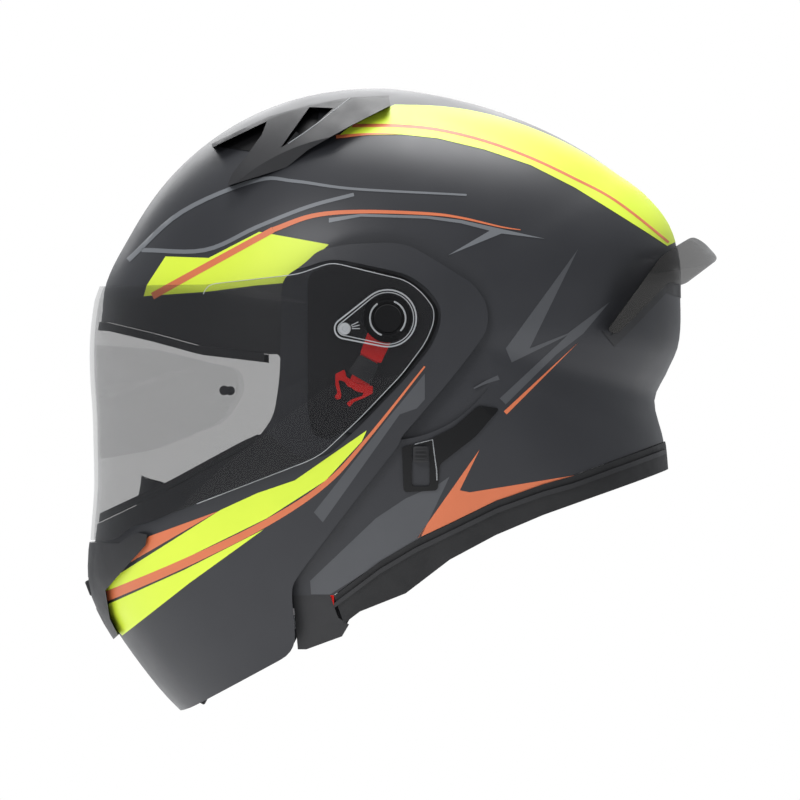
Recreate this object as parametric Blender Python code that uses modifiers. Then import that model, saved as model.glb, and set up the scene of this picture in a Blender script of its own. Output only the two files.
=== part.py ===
"""Modular (flip-up) full-face motorcycle helmet.

Metres, +Z up. The helmet faces -Y and the wearer's left is +X. The origin is the middle of the head
between the two chin bar pivots, and the helmet stands as it is worn, with its visor upright.

Every curved piece is a slice of an egg-shaped form with its poles on the pivot axis (X). A form has a
radius for each direction in the side view and a half width. A piece is the layer between two forms,
cut to its outline in the side view.
"""

import math

import bmesh
import bpy
from mathutils import Matrix, Vector

MM = 0.001
GAP = 0.3
SIDE_POWER = 2.3
# Facets of every form, the same on all of them so that neighbouring layers nest.
AROUND = 40
ACROSS = 14

# Half widths of the layers, in millimetres, from the outside in.
VISOR_WIDTH = 127.0
VISOR_THICKNESS = 2.2
CHIN_WIDTH = 124.0
CHIN_INNER_WIDTH = 120.8
SHELL_WIDTH = 120.0
SHELL_INNER_WIDTH = 113.0
SHELL_THICKNESS = 4.0
PLATEAU_WIDTH = 114.9
POD_INNER_WIDTH = 116.3
POD_RADIUS = 61.0
SUN_VISOR_WIDTH = 112.0
SUN_VISOR_THICKNESS = 2.0
EPS_WIDTH = 109.5
EPS_INNER_WIDTH = 88.0
LINER_INNER_WIDTH = 79.0
FAR = 220.0

# Side-view radius in millimetres for a direction in degrees: 0 is forward, 90 is up, 180 is back.
SHELL_RADIUS = (
    (-97, 238), (-80, 226), (-60, 205), (-45, 185), (-20, 158), (0, 146), (7, 145), (18, 138.3),
    (32, 133), (45, 128.5), (62, 123.4), (78, 119.4), (90, 117.8), (100, 117), (111, 118.2),
    (123, 122), (134, 128), (146, 137), (154, 145.5), (161, 151), (168, 151.5), (175, 149.5),
    (185, 148.5), (190.5, 144.7), (197, 142), (204, 154), (210, 165), (225, 205), (240, 230), (252, 241),
)
CHIN_RADIUS = (
    (-97, 246), (-80, 240), (-70, 233), (-62.2, 225.6), (-59, 222), (-55, 217), (-51.5, 213),
    (-46, 207), (-42, 201), (-38, 190), (-34, 178), (-28, 167), (-20, 160), (0, 155), (20, 150),
    (60, 146), (120, 146), (200, 149), (235, 185), (250, 228),
)
VISOR_RADIUS = (
    (-75, 250), (-60, 240), (-50, 224), (-45, 214), (-40, 200), (-37, 190), (-30, 173), (-22, 162),
    (-15, 156.4), (0, 151), (4, 149.8), (8, 147.6), (12, 152), (20, 158), (30, 162), (45, 165),
    (120, 165), (180, 165), (220, 178), (250, 225),
)
EPS_FRONT_RADIUS = (
    (-97, 230), (-80, 215), (-60, 188), (-45, 140), (-35, 113), (-20, 109), (0, 109), (30, 109),
    (60, 109), (75, 109.5), (84, 111.8),
)
EPS_RADIUS = EPS_FRONT_RADIUS + tuple((a, r - SHELL_THICKNESS - 0.8) for a, r in SHELL_RADIUS if a >= 90)
EPS_INNER_RADIUS = (
    (-97, 215), (-80, 200), (-60, 160), (-45, 110), (-35, 98), (-20, 96), (0, 96), (30, 92), (60, 86),
    (75, 83), (90, 82), (105, 83), (120, 86), (135, 95), (150, 106), (165, 112), (180, 113),
    (195, 113), (205, 118), (215, 140), (240, 205),
)
SPOILER_RADIUS = (
    (-97, 262), (-60, 220), (0, 150), (90, 124), (120, 128), (146, 144), (158, 162), (164, 170.5),
    (170, 172), (176, 164), (185, 156), (200, 158), (220, 200), (240, 240), (252, 258),
)
SUN_VISOR_RADIUS = ((0, 112.6), (120, 112.6), (240, 112.6))

# Side-view outlines in millimetres from the pivot: (backward, up).
BROW_EDGE = ((-200, 2), (-143, -1), (-118, -7), (-96, -13), (-62, -17))
FACE_OPENING = BROW_EDGE + (
    (-56, -17), (-48, -26), (-46, -60), (-48, -100), (-48, -141), (-46, -300), (-200, -300),
)
SHELL_BOTTOM = (
    (-60, -139), (-27, -138.7), (-4, -121.4), (14, -110.7), (31, -102.5), (55, -90.8), (78, -82.6),
    (93, -78.5), (113, -71.4), (141, -61.7), (190, -44),
)
TRIM_BOTTOM = (
    (190, -60), (141, -76.5), (126, -81.7), (101, -90.3), (78, -98.4), (54, -108.5), (31, -120.8),
    (9, -137.7), (-14, -146.9), (-22, -153),
)
CHIN_OUTLINE = (
    (-53, 20), (-42, 27), (-35, 34), (-21, 37), (2, 38), (12, 36), (24, 29), (43, 17), (49, 8.5), (50.4, 0.6),
    (49, -7), (42, -17), (31, -31), (14, -51), (7, -59), (5, -64), (-17, -92), (-43, -126), (-48, -134),
    (-48, -141), (-46, -167), (-105, -199.6), (-200, -210), (-200, -112), (-152, -106), (-110, -86),
    (-73, -66), (-65, -60), (-57, -49), (-54, -30),
)
POD_POCKET = (
    (-70, 24), (-46, 24), (-28, 30), (-12, 27), (10, 22), (20, 15), (26.5, 6), (26.5, -3), (22, -14),
    (9, -30), (-12, -52), (-30, -69), (-44, -70), (-70, -50),
)
BASE_PLATE = (
    (-40, 19), (-38, 23), (-28, 27), (-12, 25.5), (9, 20.5), (18.5, 14), (25, 5.5), (25, -2.5),
    (20.5, -13), (8, -29), (-13, -51), (-30, -61), (-38, -58), (-40, -45),
)
VISOR_OUTLINE = (
    (-200, 17), (-91, 17), (-45, 22), (-28, 28), (-12, 24), (9, 19), (17, 13), (23, 5), (23, -2),
    (19, -12), (7, -28), (-14, -50), (-32, -67), (-39, -71), (-91, -91), (-122, -103), (-128, -104),
    (-138, -112), (-200, -112),
)
INSERT_OUTLINE = (
    (-200, -9), (-118, -15), (-94, -21), (-76, -25), (-74, -36), (-84, -52), (-118, -66), (-200, -80),
)
SUN_VISOR_OUTLINE = (
    (-14, 4), (-30, 30), (-51, 28), (-80, 36), (-160, 62), (-160, 170), (-62, 170), (-34, 86), (-16, 60),
    (6, 10), (8, 0), (6, -6), (0, -8), (-7, -6),
)
CHIN_VENT_OUTLINE = (
    (-200, -113.2), (-136, -113.2), (-126, -107.5), (-121, -108.5), (-122, -114), (-143, -137), (-141, -152),
    (-137, -160), (-180, -200), (-200, -200),
)
CHIN_EPS_OUTLINE = (
    (-56, -75), (-76, -74), (-110, -94), (-150, -112), (-200, -117), (-200, -208), (-105, -189),
    (-68, -168), (-66, -140), (-55, -120),
)
LOWER_GASKET = (
    (-200, -111.5), (-152, -105.5), (-110, -85.5), (-73, -65.5), (-66.5, -61), (-64, -57.5),
    (-73, -61.5), (-110, -81.5), (-152, -101), (-200, -106),
)
TOP_VENT_OUTLINE = (
    (-89.3, 88.7), (-61, 102), (-40, 108.3), (-19, 112), (0.4, 113), (1.2, 107.6), (-19, 97), (-40, 85),
    (-51, 76), (-80, 67),
)
VENT_SLOT = ((-51.6, 84.7), (-36.3, 104.1))
VENT_SLOT_HALF = 2.4
# The shutter slides straight over the curved shell, so it sits well clear of it.
SHUTTER_LIFT = 1.8
SPOILER_OUTLINE = (
    (110, -6), (138, 32), (154, 42), (160, 39), (168, 31), (149, 17), (142, 19), (130, 7), (115, -8),
)
RECESS_PANEL = (
    (45.5, -43.5), (56, -45), (44, -59), (26, -73), (25, -86), (8, -87), (7, -64.5), (20, -61),
    (33, -54.5),
)
LINER_OUTLINE = (
    (-160, 8), (-60, -6), (-30, -12), (10, -20), (60, -30), (130, -40), (170, -40), (170, 170), (-160, 170),
)
CHEEK_OUTLINE = (
    (-47, -24), (-2, -28), (1, -60), (-3, -105), (-12, -122), (-34, -131), (-43, -100), (-48, -60),
)
NECK_ROLL_OUTLINE = (
    (42, -33), (60, -36), (130, -45), (170, -45), (170, -60), (141, -66), (101, -80), (60, -94),
    (42, -101),
)
LATCH_HOUSING = ((-43.5, -143), (-28.5, -143), (-24, -153.8), (-20, -155), (-23, -158.5), (-42, -166))

BREATH_DEFLECTOR = (
    (-170, -112), (-126, -112), (-112, -100), (-112, -84), (-126, -80), (-132, -72), (-170, -72),
)
CHIN_CURTAIN = (
    (-54, -162), (-102, -190), (-180, -232), (-180, -236), (-101, -192.5), (-54, -164.5),
)
CHIN_VENT_MOUTH = ((-200, -131), (-130, -131), (-130, -147), (-200, -147))
SUN_SLIDER_WINDOW = ((12, -63), (21, -63), (21, -84), (12, -84))
LOCK_LEVER = (
    (-14, -10), (-6, -12), (2, -14), (0, -20), (-6, -26), (-8, -34), (-13, -43), (-19, -45), (-26, -42),
    (-25, -34), (-20, -27), (-14, -20),
)
LATCH_HOOK = (
    (-62, -150), (-57, -146), (-42, -150.6), (-37, -153.4), (-37.5, -156.4), (-44, -156), (-60, -156),
)

# Turned pieces: profiles as (radius, X), outermost X first, and their centres in the side view.
INSERT_PIN = ((0, 107.5), (2.5, 107.5), (2.5, 106.1), (0, 106.1))
INSERT_PIN_CENTRE = (-82, -36)
SUN_VISOR_PIN = ((0, 112.4), (3, 112.4), (3, 109.9), (0, 109.9))
STRAP_ANCHOR = ((0, 83.0), (5, 83.0), (5, 80.8), (0, 80.8))
STRAP_ANCHOR_CENTRE = (24, -72)
STRIKER_PIN = ((0, 85.5), (2.5, 85.5), (2.5, 75.5), (0, 75.5))
STRIKER_PIN_CENTRE = (-38.5, -148.4)

# Pieces on joints: centre or pivot as (X, Y, Z), for the left side where there are two.
LOCK_LEVER_PIVOT = (120.9, -6, -15)
LATCH_PIVOT = (77.5, -59, -152)
RELEASE_BUTTON = (0, -97, -192)
CHIN_VENT_SLIDER = (0, -151.5, -136.4)
SUN_SLIDER = (119.6, 16.5, -68)
BUCKLE_PIVOT = (-6, -6.9, -142.2)
BUCKLE_TILT = 20

# Centre line of a chin strap half as (X, backward, up), from its anchor to the buckle.
STRAP_PATH = ((79, 24, -78), (74, 21, -92), (62, 14, -110), (44, 4, -125), (26, -8, -134.5))
STRAP_ACROSS = (0, 0.94, 0.34)

# Small driving sizes, in millimetres.
BOLT_RADIUS = 6.0
PLATE_HOLE = 10.5
CAP_RADIUS = 8.5
CAP_HEAD = 13.5
STRAP_WIDTH = 20.0
STRAP_THICKNESS = 1.8

# Colours as red, green, blue from 0 to 255, then metallic and roughness.
PAINTS = {
    "anthracite": ((66, 68, 74), 0.4, 0.45),
    "black_gloss": ((12, 12, 13), 0.0, 0.12),
    "black_matte": ((22, 22, 24), 0.0, 0.55),
    "rubber": ((16, 16, 17), 0.0, 0.7),
    "foam": ((28, 28, 30), 0.0, 0.9),
    "cloth": ((34, 35, 38), 0.0, 0.95),
    "smoke": ((150, 152, 154), 0.0, 0.05),
    "dark_smoke": ((50, 48, 46), 0.0, 0.08),
    "red": ((205, 24, 22), 0.0, 0.4),
    "steel": ((170, 172, 175), 1.0, 0.3),
    "webbing": ((18, 18, 20), 0.0, 0.9),
}


def remove_startup_objects():
    """Start from an empty scene."""
    for thing in list(bpy.data.objects):
        bpy.data.objects.remove(thing, do_unlink=True)


def new_collection(name):
    """Make a collection in the scene."""
    group = bpy.data.collections.new(name)
    bpy.context.scene.collection.children.link(group)
    return group


def to_linear(channel):
    """Turn a display colour channel (0 to 255) into a linear one."""
    value = channel / 255
    return value / 12.92 if value <= 0.04045 else ((value + 0.055) / 1.055) ** 2.4


def paint(thing, paint_name):
    """Give the object a Principled material of its own."""
    colour, metallic, roughness = PAINTS[paint_name]
    material = bpy.data.materials.new(thing.name)
    material.use_nodes = True
    shader = material.node_tree.nodes["Principled BSDF"]
    shader.inputs["Base Color"].default_value = [to_linear(c) for c in colour] + [1]
    shader.inputs["Metallic"].default_value = metallic
    shader.inputs["Roughness"].default_value = roughness
    thing.data.materials.append(material)


def add_object(name, mesh, group):
    """Link a mesh as an object."""
    thing = bpy.data.objects.new(name, mesh)
    group.objects.link(thing)
    return thing


def finish_bmesh(bm, name):
    """Turn a bmesh into a mesh datablock."""
    mesh = bpy.data.meshes.new(name)
    bm.to_mesh(mesh)
    bm.free()
    return mesh


def smooth_radius(table, angle):
    """Radius at an angle, on a closed Hermite curve through the table's points."""
    first = table[0][0]
    angle = (angle - first) % 360 + first
    count = len(table)
    points = [(table[i % count][0] + 360 * (i // count), table[i % count][1]) for i in range(-1, count + 2)]
    index = 1
    while points[index + 1][0] < angle:
        index += 1
    (a0, r0), (a1, r1), (a2, r2), (a3, r3) = points[index - 1:index + 3]
    span = a2 - a1
    slope_1 = (r2 - r0) / (a2 - a0) * span
    slope_2 = (r3 - r1) / (a3 - a1) * span
    t = (angle - a1) / span
    start = (2 * t ** 3 - 3 * t ** 2 + 1) * r1 + (t ** 3 - 2 * t ** 2 + t) * slope_1
    return start + (3 * t ** 2 - 2 * t ** 3) * r2 + (t ** 3 - t ** 2) * slope_2


def add_form(bm, table, inset, width, inward=False):
    """Add one closed egg-shaped surface to the bmesh: a sphere reshaped to the form."""
    before = set(bm.verts)
    bmesh.ops.create_uvsphere(bm, u_segments=AROUND, v_segments=ACROSS, radius=1)
    verts = [v for v in bm.verts if v not in before]
    for vert in verts:
        height = max(-1.0, min(1.0, vert.co.z))
        angle = math.atan2(vert.co.y, vert.co.x)
        level = math.sqrt(1 - height * height) ** (2 / SIDE_POWER)
        radius = (smooth_radius(table, math.degrees(angle)) - inset) * level
        side = math.copysign(abs(height) ** (2 / SIDE_POWER), height) * width
        vert.co = Vector((side, -radius * math.cos(angle), radius * math.sin(angle))) * MM
    if not inward:
        # The reshaping mirrors the sphere, which turns its faces inward.
        bmesh.ops.reverse_faces(bm, faces=list({face for vert in verts for face in vert.link_faces}))
    bm.normal_update()


def layer(name, group, outer, inner=None):
    """Make the closed layer between two forms, or one solid form.

    A form is given as (table, inset, half width).
    """
    bm = bmesh.new()
    add_form(bm, *outer)
    if inner:
        add_form(bm, *inner, inward=True)
    thing = add_object(name, finish_bmesh(bm, name), group)
    thing.data.shade_smooth()
    thing.data.set_sharp_from_angle(angle=math.radians(40))
    return thing


def outline_mesh(name, points, low, high):
    """Mesh of a side-view outline, given thickness along X from low to high (millimetres)."""
    curve = bpy.data.curves.new(name, "CURVE")
    curve.dimensions = "2D"
    curve.fill_mode = "BOTH"
    curve.extrude = (high - low) / 2 * MM
    spline = curve.splines.new("POLY")
    spline.points.add(len(points) - 1)
    for point, (back, up) in zip(spline.points, points):
        point.co = (back * MM, up * MM, 0, 1)
    spline.use_cyclic_u = True
    holder = bpy.data.objects.new(name, curve)
    bpy.context.scene.collection.objects.link(holder)
    graph = bpy.context.evaluated_depsgraph_get()
    mesh = bpy.data.meshes.new_from_object(holder.evaluated_get(graph))
    bpy.data.objects.remove(holder, do_unlink=True)
    bpy.data.curves.remove(curve)
    turn = Matrix(((0, 0, 1, (low + high) / 2 * MM), (1, 0, 0, 0), (0, 1, 0, 0), (0, 0, 0, 1)))
    bm = bmesh.new()
    bm.from_mesh(mesh)
    bmesh.ops.remove_doubles(bm, verts=bm.verts, dist=0.00001)
    bmesh.ops.transform(bm, matrix=turn, verts=bm.verts)
    bmesh.ops.recalc_face_normals(bm, faces=bm.faces)
    bm.to_mesh(mesh)
    bm.free()
    return mesh


def strip(start, end, half):
    """Side-view outline of a straight strip between two points."""
    run = Vector(end) - Vector(start)
    across = Vector((-run.y, run.x)).normalized() * half
    start, end = Vector(start), Vector(end)
    return (start + across, end + across, end - across, start - across)


def both_sides(side, low, high):
    """X range of a piece on the left (+1) or on the right (-1)."""
    return (low, high) if side > 0 else (-high, -low)


class Helmet:
    """Collections, cutters and shared building steps."""

    def __init__(self):
        self.parts = new_collection("motorcycle_helmet")
        self.cutters = new_collection("cutters")
        self.cutter_count = 0

    def cutter(self, mesh):
        """Keep a mesh as a hidden cutter."""
        self.cutter_count += 1
        thing = add_object(f"cutter_{self.cutter_count:02d}", mesh, self.cutters)
        thing.hide_render = True
        thing.display_type = "WIRE"
        return thing

    def outline_cutter(self, points, low=-FAR, high=FAR):
        """A cutter with a side-view outline."""
        return self.cutter(outline_mesh("cutter", points, low, high))

    def boolean(self, thing, operation, cutter):
        """Add an exact Boolean."""
        modifier = thing.modifiers.new(operation.lower(), "BOOLEAN")
        modifier.operation = operation
        modifier.solver = "EXACT"
        modifier.object = cutter

    def keep(self, thing, points, low=-FAR, high=FAR):
        """Keep what lies inside a side-view outline."""
        self.boolean(thing, "INTERSECT", self.outline_cutter(points, low, high))

    def cut(self, thing, points, low=-FAR, high=FAR):
        """Cut a side-view outline away."""
        self.boolean(thing, "DIFFERENCE", self.outline_cutter(points, low, high))

    def cut_disc(self, thing, radius, low, high, centre=(0, 0), segments=32):
        """Cut a round hole or recess along X."""
        self.boolean(thing, "DIFFERENCE", self.cutter(disc_mesh(radius, low, high, centre, segments)))

    def slice(self, name, outer, inner, points, paint_name, low=-FAR, high=FAR):
        """A painted piece: a layer between two forms inside a side-view outline."""
        thing = layer(name, self.parts, outer, inner)
        self.keep(thing, points, low, high)
        paint(thing, paint_name)
        return thing

    def plate(self, name, points, low, high, paint_name, pivot=None):
        """A flat piece with a side-view outline."""
        thing = add_object(name, outline_mesh(name, points, low, high), self.parts)
        paint(thing, paint_name)
        if pivot:
            move_origin(thing, pivot)
        return thing

    def block(self, name, size, centre, paint_name, tilt=0.0, bevel=0.6, pivot=None):
        """A box with rounded edges, tilted about X by an angle in degrees."""
        bm = bmesh.new()
        bmesh.ops.create_cube(bm, size=1)
        bmesh.ops.scale(bm, vec=Vector(size) * MM, verts=bm.verts)
        thing = add_object(name, finish_bmesh(bm, name), self.parts)
        place = Matrix.Translation(Vector(centre) * MM)
        thing.data.transform(place @ Matrix.Rotation(math.radians(tilt), 4, "X"))
        edge = thing.modifiers.new("edge", "BEVEL")
        edge.width = bevel * MM
        edge.segments = 1
        paint(thing, paint_name)
        if pivot:
            move_origin(thing, pivot)
        return thing

    def turned(self, name, profile, side, centre, paint_name, steps=24):
        """A turned piece on an axis along X: the profile is (radius, x), outermost x first."""
        bm = bmesh.new()
        verts = [bm.verts.new((radius * MM, 0, x * MM)) for radius, x in profile]
        for start, end in zip(verts, verts[1:]):
            bm.edges.new((start, end))
        thing = add_object(name, finish_bmesh(bm, name), self.parts)
        screw = thing.modifiers.new("turn", "SCREW")
        screw.steps = steps
        screw.render_steps = steps
        screw.use_merge_vertices = True
        screw.merge_threshold = 0.00001
        thing.rotation_euler = (0, math.radians(90 * side), 0)
        thing.location = Vector((0, centre[0], centre[1])) * MM
        paint(thing, paint_name)
        return thing


def disc_mesh(radius, low, high, centre, segments):
    """A cylinder along X from low to high."""
    bm = bmesh.new()
    bmesh.ops.create_cone(
        bm, cap_ends=True, segments=segments, radius1=radius * MM, radius2=radius * MM,
        depth=(high - low) * MM
    )
    place = Matrix.Translation(Vector(((low + high) / 2, centre[0], centre[1])) * MM)
    twist = Matrix.Rotation(math.radians(1.7), 4, "X")
    bmesh.ops.transform(bm, matrix=place @ twist @ Matrix.Rotation(math.radians(90), 4, "Y"), verts=bm.verts)
    return finish_bmesh(bm, "disc")


def move_origin(thing, pivot):
    """Put the object's origin on its joint's axis without moving its shape."""
    place = Vector(pivot) * MM
    thing.data.transform(Matrix.Translation(-place))
    thing.location = place


def side_name(side):
    """Name ending for a side."""
    return "left" if side > 0 else "right"


def build_shell(helmet):
    """Outer shell with its face opening, flat pivot seats and vent holes."""
    shell = layer(
        "outer_shell", helmet.parts, (SHELL_RADIUS, 0, SHELL_WIDTH),
        (SHELL_RADIUS, SHELL_THICKNESS, SHELL_INNER_WIDTH)
    )
    helmet.cut(shell, FACE_OPENING)
    helmet.cut(shell, SHELL_BOTTOM + ((190, -300), (-60, -300)))
    for side in (1, -1):
        helmet.cut_disc(shell, POD_RADIUS, *both_sides(side, PLATEAU_WIDTH, 140), segments=48)
    paint(shell, "anthracite")
    trim_outline = tuple((back, up - GAP) for back, up in SHELL_BOTTOM[1:]) + TRIM_BOTTOM
    helmet.slice(
        "neck_trim", (SHELL_RADIUS, -1, SHELL_WIDTH + 0.5), (SHELL_RADIUS, 9, 108), trim_outline, "rubber"
    )


def build_brow_gasket(helmet):
    """Rubber strip under the brow edge of the shell."""
    top = tuple((back, up - GAP) for back, up in BROW_EDGE)
    bottom = tuple((back, up - 4.5) for back, up in reversed(BROW_EDGE))
    helmet.slice(
        "brow_gasket", (SHELL_RADIUS, -1, SHELL_WIDTH + 0.8), (SHELL_RADIUS, 7, SHELL_INNER_WIDTH - 1),
        top + bottom, "rubber"
    )


def build_liners(helmet):
    """Impact foam, comfort liner, cheek pads and neck roll."""
    eps = layer(
        "eps_liner", helmet.parts, (EPS_RADIUS, 0, EPS_WIDTH), (EPS_INNER_RADIUS, 0, EPS_INNER_WIDTH)
    )
    helmet.cut(eps, FACE_OPENING)
    eps_bottom = tuple((back, up + 1) for back, up in SHELL_BOTTOM)
    helmet.cut(eps, eps_bottom + ((190, -300), (-60, -300)))
    paint(eps, "foam")
    helmet.slice(
        "comfort_liner", (EPS_INNER_RADIUS, 0.5, EPS_INNER_WIDTH - 0.5),
        (EPS_INNER_RADIUS, 10, LINER_INNER_WIDTH), LINER_OUTLINE, "cloth"
    )
    for side in (1, -1):
        helmet.slice(
            f"cheek_pad_{side_name(side)}", (EPS_INNER_RADIUS, 0.5, EPS_INNER_WIDTH - 0.5),
            (EPS_INNER_RADIUS, 14, 66), CHEEK_OUTLINE, "cloth", *both_sides(side, 15, FAR)
        )
        helmet.block(
            f"cheek_release_tab_{side_name(side)}", (2, 12, 14), (side * 68, -34, -147), "red", bevel=0.4
        )
    helmet.slice(
        "neck_roll", (EPS_INNER_RADIUS, 0.5, EPS_INNER_WIDTH - 0.5), (EPS_INNER_RADIUS, 12, 76),
        NECK_ROLL_OUTLINE, "cloth"
    )


def build_chin_bar(helmet):
    """Chin bar with its pods, foam, gasket, vent, deflector and curtain."""
    chin = layer("chin_bar", helmet.parts, (CHIN_RADIUS, 0, CHIN_WIDTH))
    helmet.keep(chin, CHIN_OUTLINE)
    hollow = layer("cutter_hollow", helmet.cutters, (CHIN_RADIUS, 3.2, CHIN_INNER_WIDTH))
    hollow.hide_render = True
    hollow.display_type = "WIRE"
    helmet.boolean(chin, "DIFFERENCE", hollow)
    for side in (1, -1):
        helmet.cut_disc(hollow, POD_RADIUS - 0.8, *both_sides(side, POD_INNER_WIDTH, 140), segments=48)
        helmet.cut(chin, POD_POCKET, *both_sides(side, 118.2, 140))
        helmet.cut_disc(chin, BOLT_RADIUS + 0.5, *both_sides(side, 100, 140), segments=24)
    paint(chin, "anthracite")
    foam = helmet.slice(
        "chin_eps", (CHIN_RADIUS, 3.6, CHIN_INNER_WIDTH - 0.4), (CHIN_RADIUS, 24, 114), CHIN_EPS_OUTLINE,
        "foam"
    )
    helmet.cut_disc(foam, POD_RADIUS + 1, -FAR, FAR)
    helmet.slice(
        "chin_gasket", (CHIN_RADIUS, 0.8, CHIN_WIDTH - 0.8), (CHIN_RADIUS, 8, 116), LOWER_GASKET, "rubber"
    )
    vent = helmet.slice(
        "chin_vent_cover", (CHIN_RADIUS, -4, CHIN_WIDTH + 1), (CHIN_RADIUS, -0.3, CHIN_WIDTH + 0.3),
        CHIN_VENT_OUTLINE, "black_gloss"
    )
    helmet.cut(vent, CHIN_VENT_MOUTH, -14, 14)
    helmet.block("chin_vent_slider", (26, 3.2, 8), CHIN_VENT_SLIDER, "black_matte", tilt=21)
    helmet.slice(
        "breath_deflector", (CHIN_RADIUS, 25.5, 90), (CHIN_RADIUS, 28.5, 84),
        BREATH_DEFLECTOR, "rubber"
    )
    helmet.slice(
        "chin_curtain", (CHIN_RADIUS, 25.5, 112), (CHIN_RADIUS, 66, 70),
        CHIN_CURTAIN, "cloth"
    )


def build_visor_mechanism(helmet):
    """Base plates, lock levers, pivot bolts and caps in the two pods."""
    across, back, up = LOCK_LEVER_PIVOT
    for side in (1, -1):
        name = side_name(side)
        plate = helmet.plate(
            f"visor_base_plate_{name}", BASE_PLATE, *both_sides(side, 118.5, 119.6), "black_gloss"
        )
        helmet.cut_disc(plate, PLATE_HOLE, *both_sides(side, 110, 130), segments=32)
        helmet.plate(
            f"visor_lock_lever_{name}", LOCK_LEVER, *both_sides(side, across - 1, across + 1), "red",
            pivot=(side * across, back, up)
        )
        helmet.turned(
            f"pivot_bolt_{name}",
            ((0, 120.2), (9.5, 120.2), (9.5, 118.5), (BOLT_RADIUS, 118.5), (BOLT_RADIUS, 115.2), (0, 115.2)),
            side, (0, 0), "steel"
        )
        helmet.turned(
            f"visor_pivot_cap_{name}",
            ((0, 128.8), (CAP_HEAD - 1, 128.8), (CAP_HEAD, 128), (CAP_HEAD, 127.3), (CAP_RADIUS, 127.3),
             (CAP_RADIUS, 120.5), (0, 120.5)),
            side, (0, 0), "black_gloss"
        )


def build_visor(helmet):
    """Visor with its lift tab and anti-fog insert."""
    visor = layer(
        "visor", helmet.parts, (VISOR_RADIUS, 0, VISOR_WIDTH),
        (VISOR_RADIUS, VISOR_THICKNESS, VISOR_WIDTH - VISOR_THICKNESS)
    )
    helmet.keep(visor, VISOR_OUTLINE)
    helmet.cut_disc(visor, CAP_RADIUS + 0.6, -FAR, FAR, segments=24)
    paint(visor, "smoke")
    insert = helmet.slice(
        "anti_fog_insert", (VISOR_RADIUS, 2.6, VISOR_WIDTH - 2.6), (VISOR_RADIUS, 3.6, VISOR_WIDTH - 3.6),
        INSERT_OUTLINE, "smoke"
    )
    for side in (1, -1):
        helmet.cut_disc(insert, 3.2, *both_sides(side, 20, FAR), centre=INSERT_PIN_CENTRE, segments=12)
        helmet.turned(
            f"insert_pin_{side_name(side)}", INSERT_PIN, side, INSERT_PIN_CENTRE, "black_matte", steps=12
        )


def build_sun_visor(helmet):
    """Inner sun visor, retracted, with its pivot screws and side slider."""
    sun = helmet.slice(
        "sun_visor", (SUN_VISOR_RADIUS, 0, SUN_VISOR_WIDTH),
        (SUN_VISOR_RADIUS, SUN_VISOR_THICKNESS, SUN_VISOR_WIDTH - SUN_VISOR_THICKNESS),
        SUN_VISOR_OUTLINE, "dark_smoke"
    )
    helmet.cut_disc(sun, 4.2, -FAR, FAR, segments=20)
    panels = {}
    for side in (1, -1):
        name = side_name(side)
        helmet.turned(
            f"sun_visor_pin_{name}", SUN_VISOR_PIN, side, (0, 0), "steel", steps=16
        )
        panels[name] = helmet.slice(
            f"recess_panel_{name}", (SHELL_RADIUS, -1.3, SHELL_WIDTH + 1.3),
            (SHELL_RADIUS, -GAP, SHELL_WIDTH + GAP), RECESS_PANEL, "black_gloss", *both_sides(side, 40, FAR)
        )
    helmet.cut(panels["left"], SUN_SLIDER_WINDOW, 40, FAR)
    helmet.block("sun_visor_slider", (4, 7.6, 8), SUN_SLIDER, "black_matte", pivot=SUN_SLIDER)


def build_top_vents(helmet):
    """Two crown vents with a sliding shutter each, near the front end of its slot."""
    slot_start, slot_end = (Vector(end) for end in VENT_SLOT)
    shutter = strip(slot_start.lerp(slot_end, 0.06), slot_start.lerp(slot_end, 0.44), VENT_SLOT_HALF - 0.7)
    for side in (1, -1):
        name = side_name(side)
        cover = helmet.slice(
            f"top_vent_cover_{name}", (SHELL_RADIUS, -5.5, SHELL_WIDTH + 5),
            (SHELL_RADIUS, -GAP, SHELL_WIDTH + GAP), TOP_VENT_OUTLINE, "black_matte",
            *both_sides(side, 22, 90)
        )
        helmet.cut(cover, strip(*VENT_SLOT, VENT_SLOT_HALF), *both_sides(side, 10, 100))
        helmet.slice(
            f"top_vent_slider_{name}", (SHELL_RADIUS, -4.4, SHELL_WIDTH + 4.4),
            (SHELL_RADIUS, -SHUTTER_LIFT, SHELL_WIDTH + SHUTTER_LIFT), shutter, "black_gloss",
            *both_sides(side, 10, 100)
        )


def build_rear(helmet):
    """Translucent spoiler across the back of the shell."""
    helmet.slice(
        "rear_spoiler", (SPOILER_RADIUS, 0, SHELL_WIDTH + 5), (SHELL_RADIUS, -0.4, SHELL_WIDTH + 0.4),
        SPOILER_OUTLINE, "dark_smoke"
    )


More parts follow.
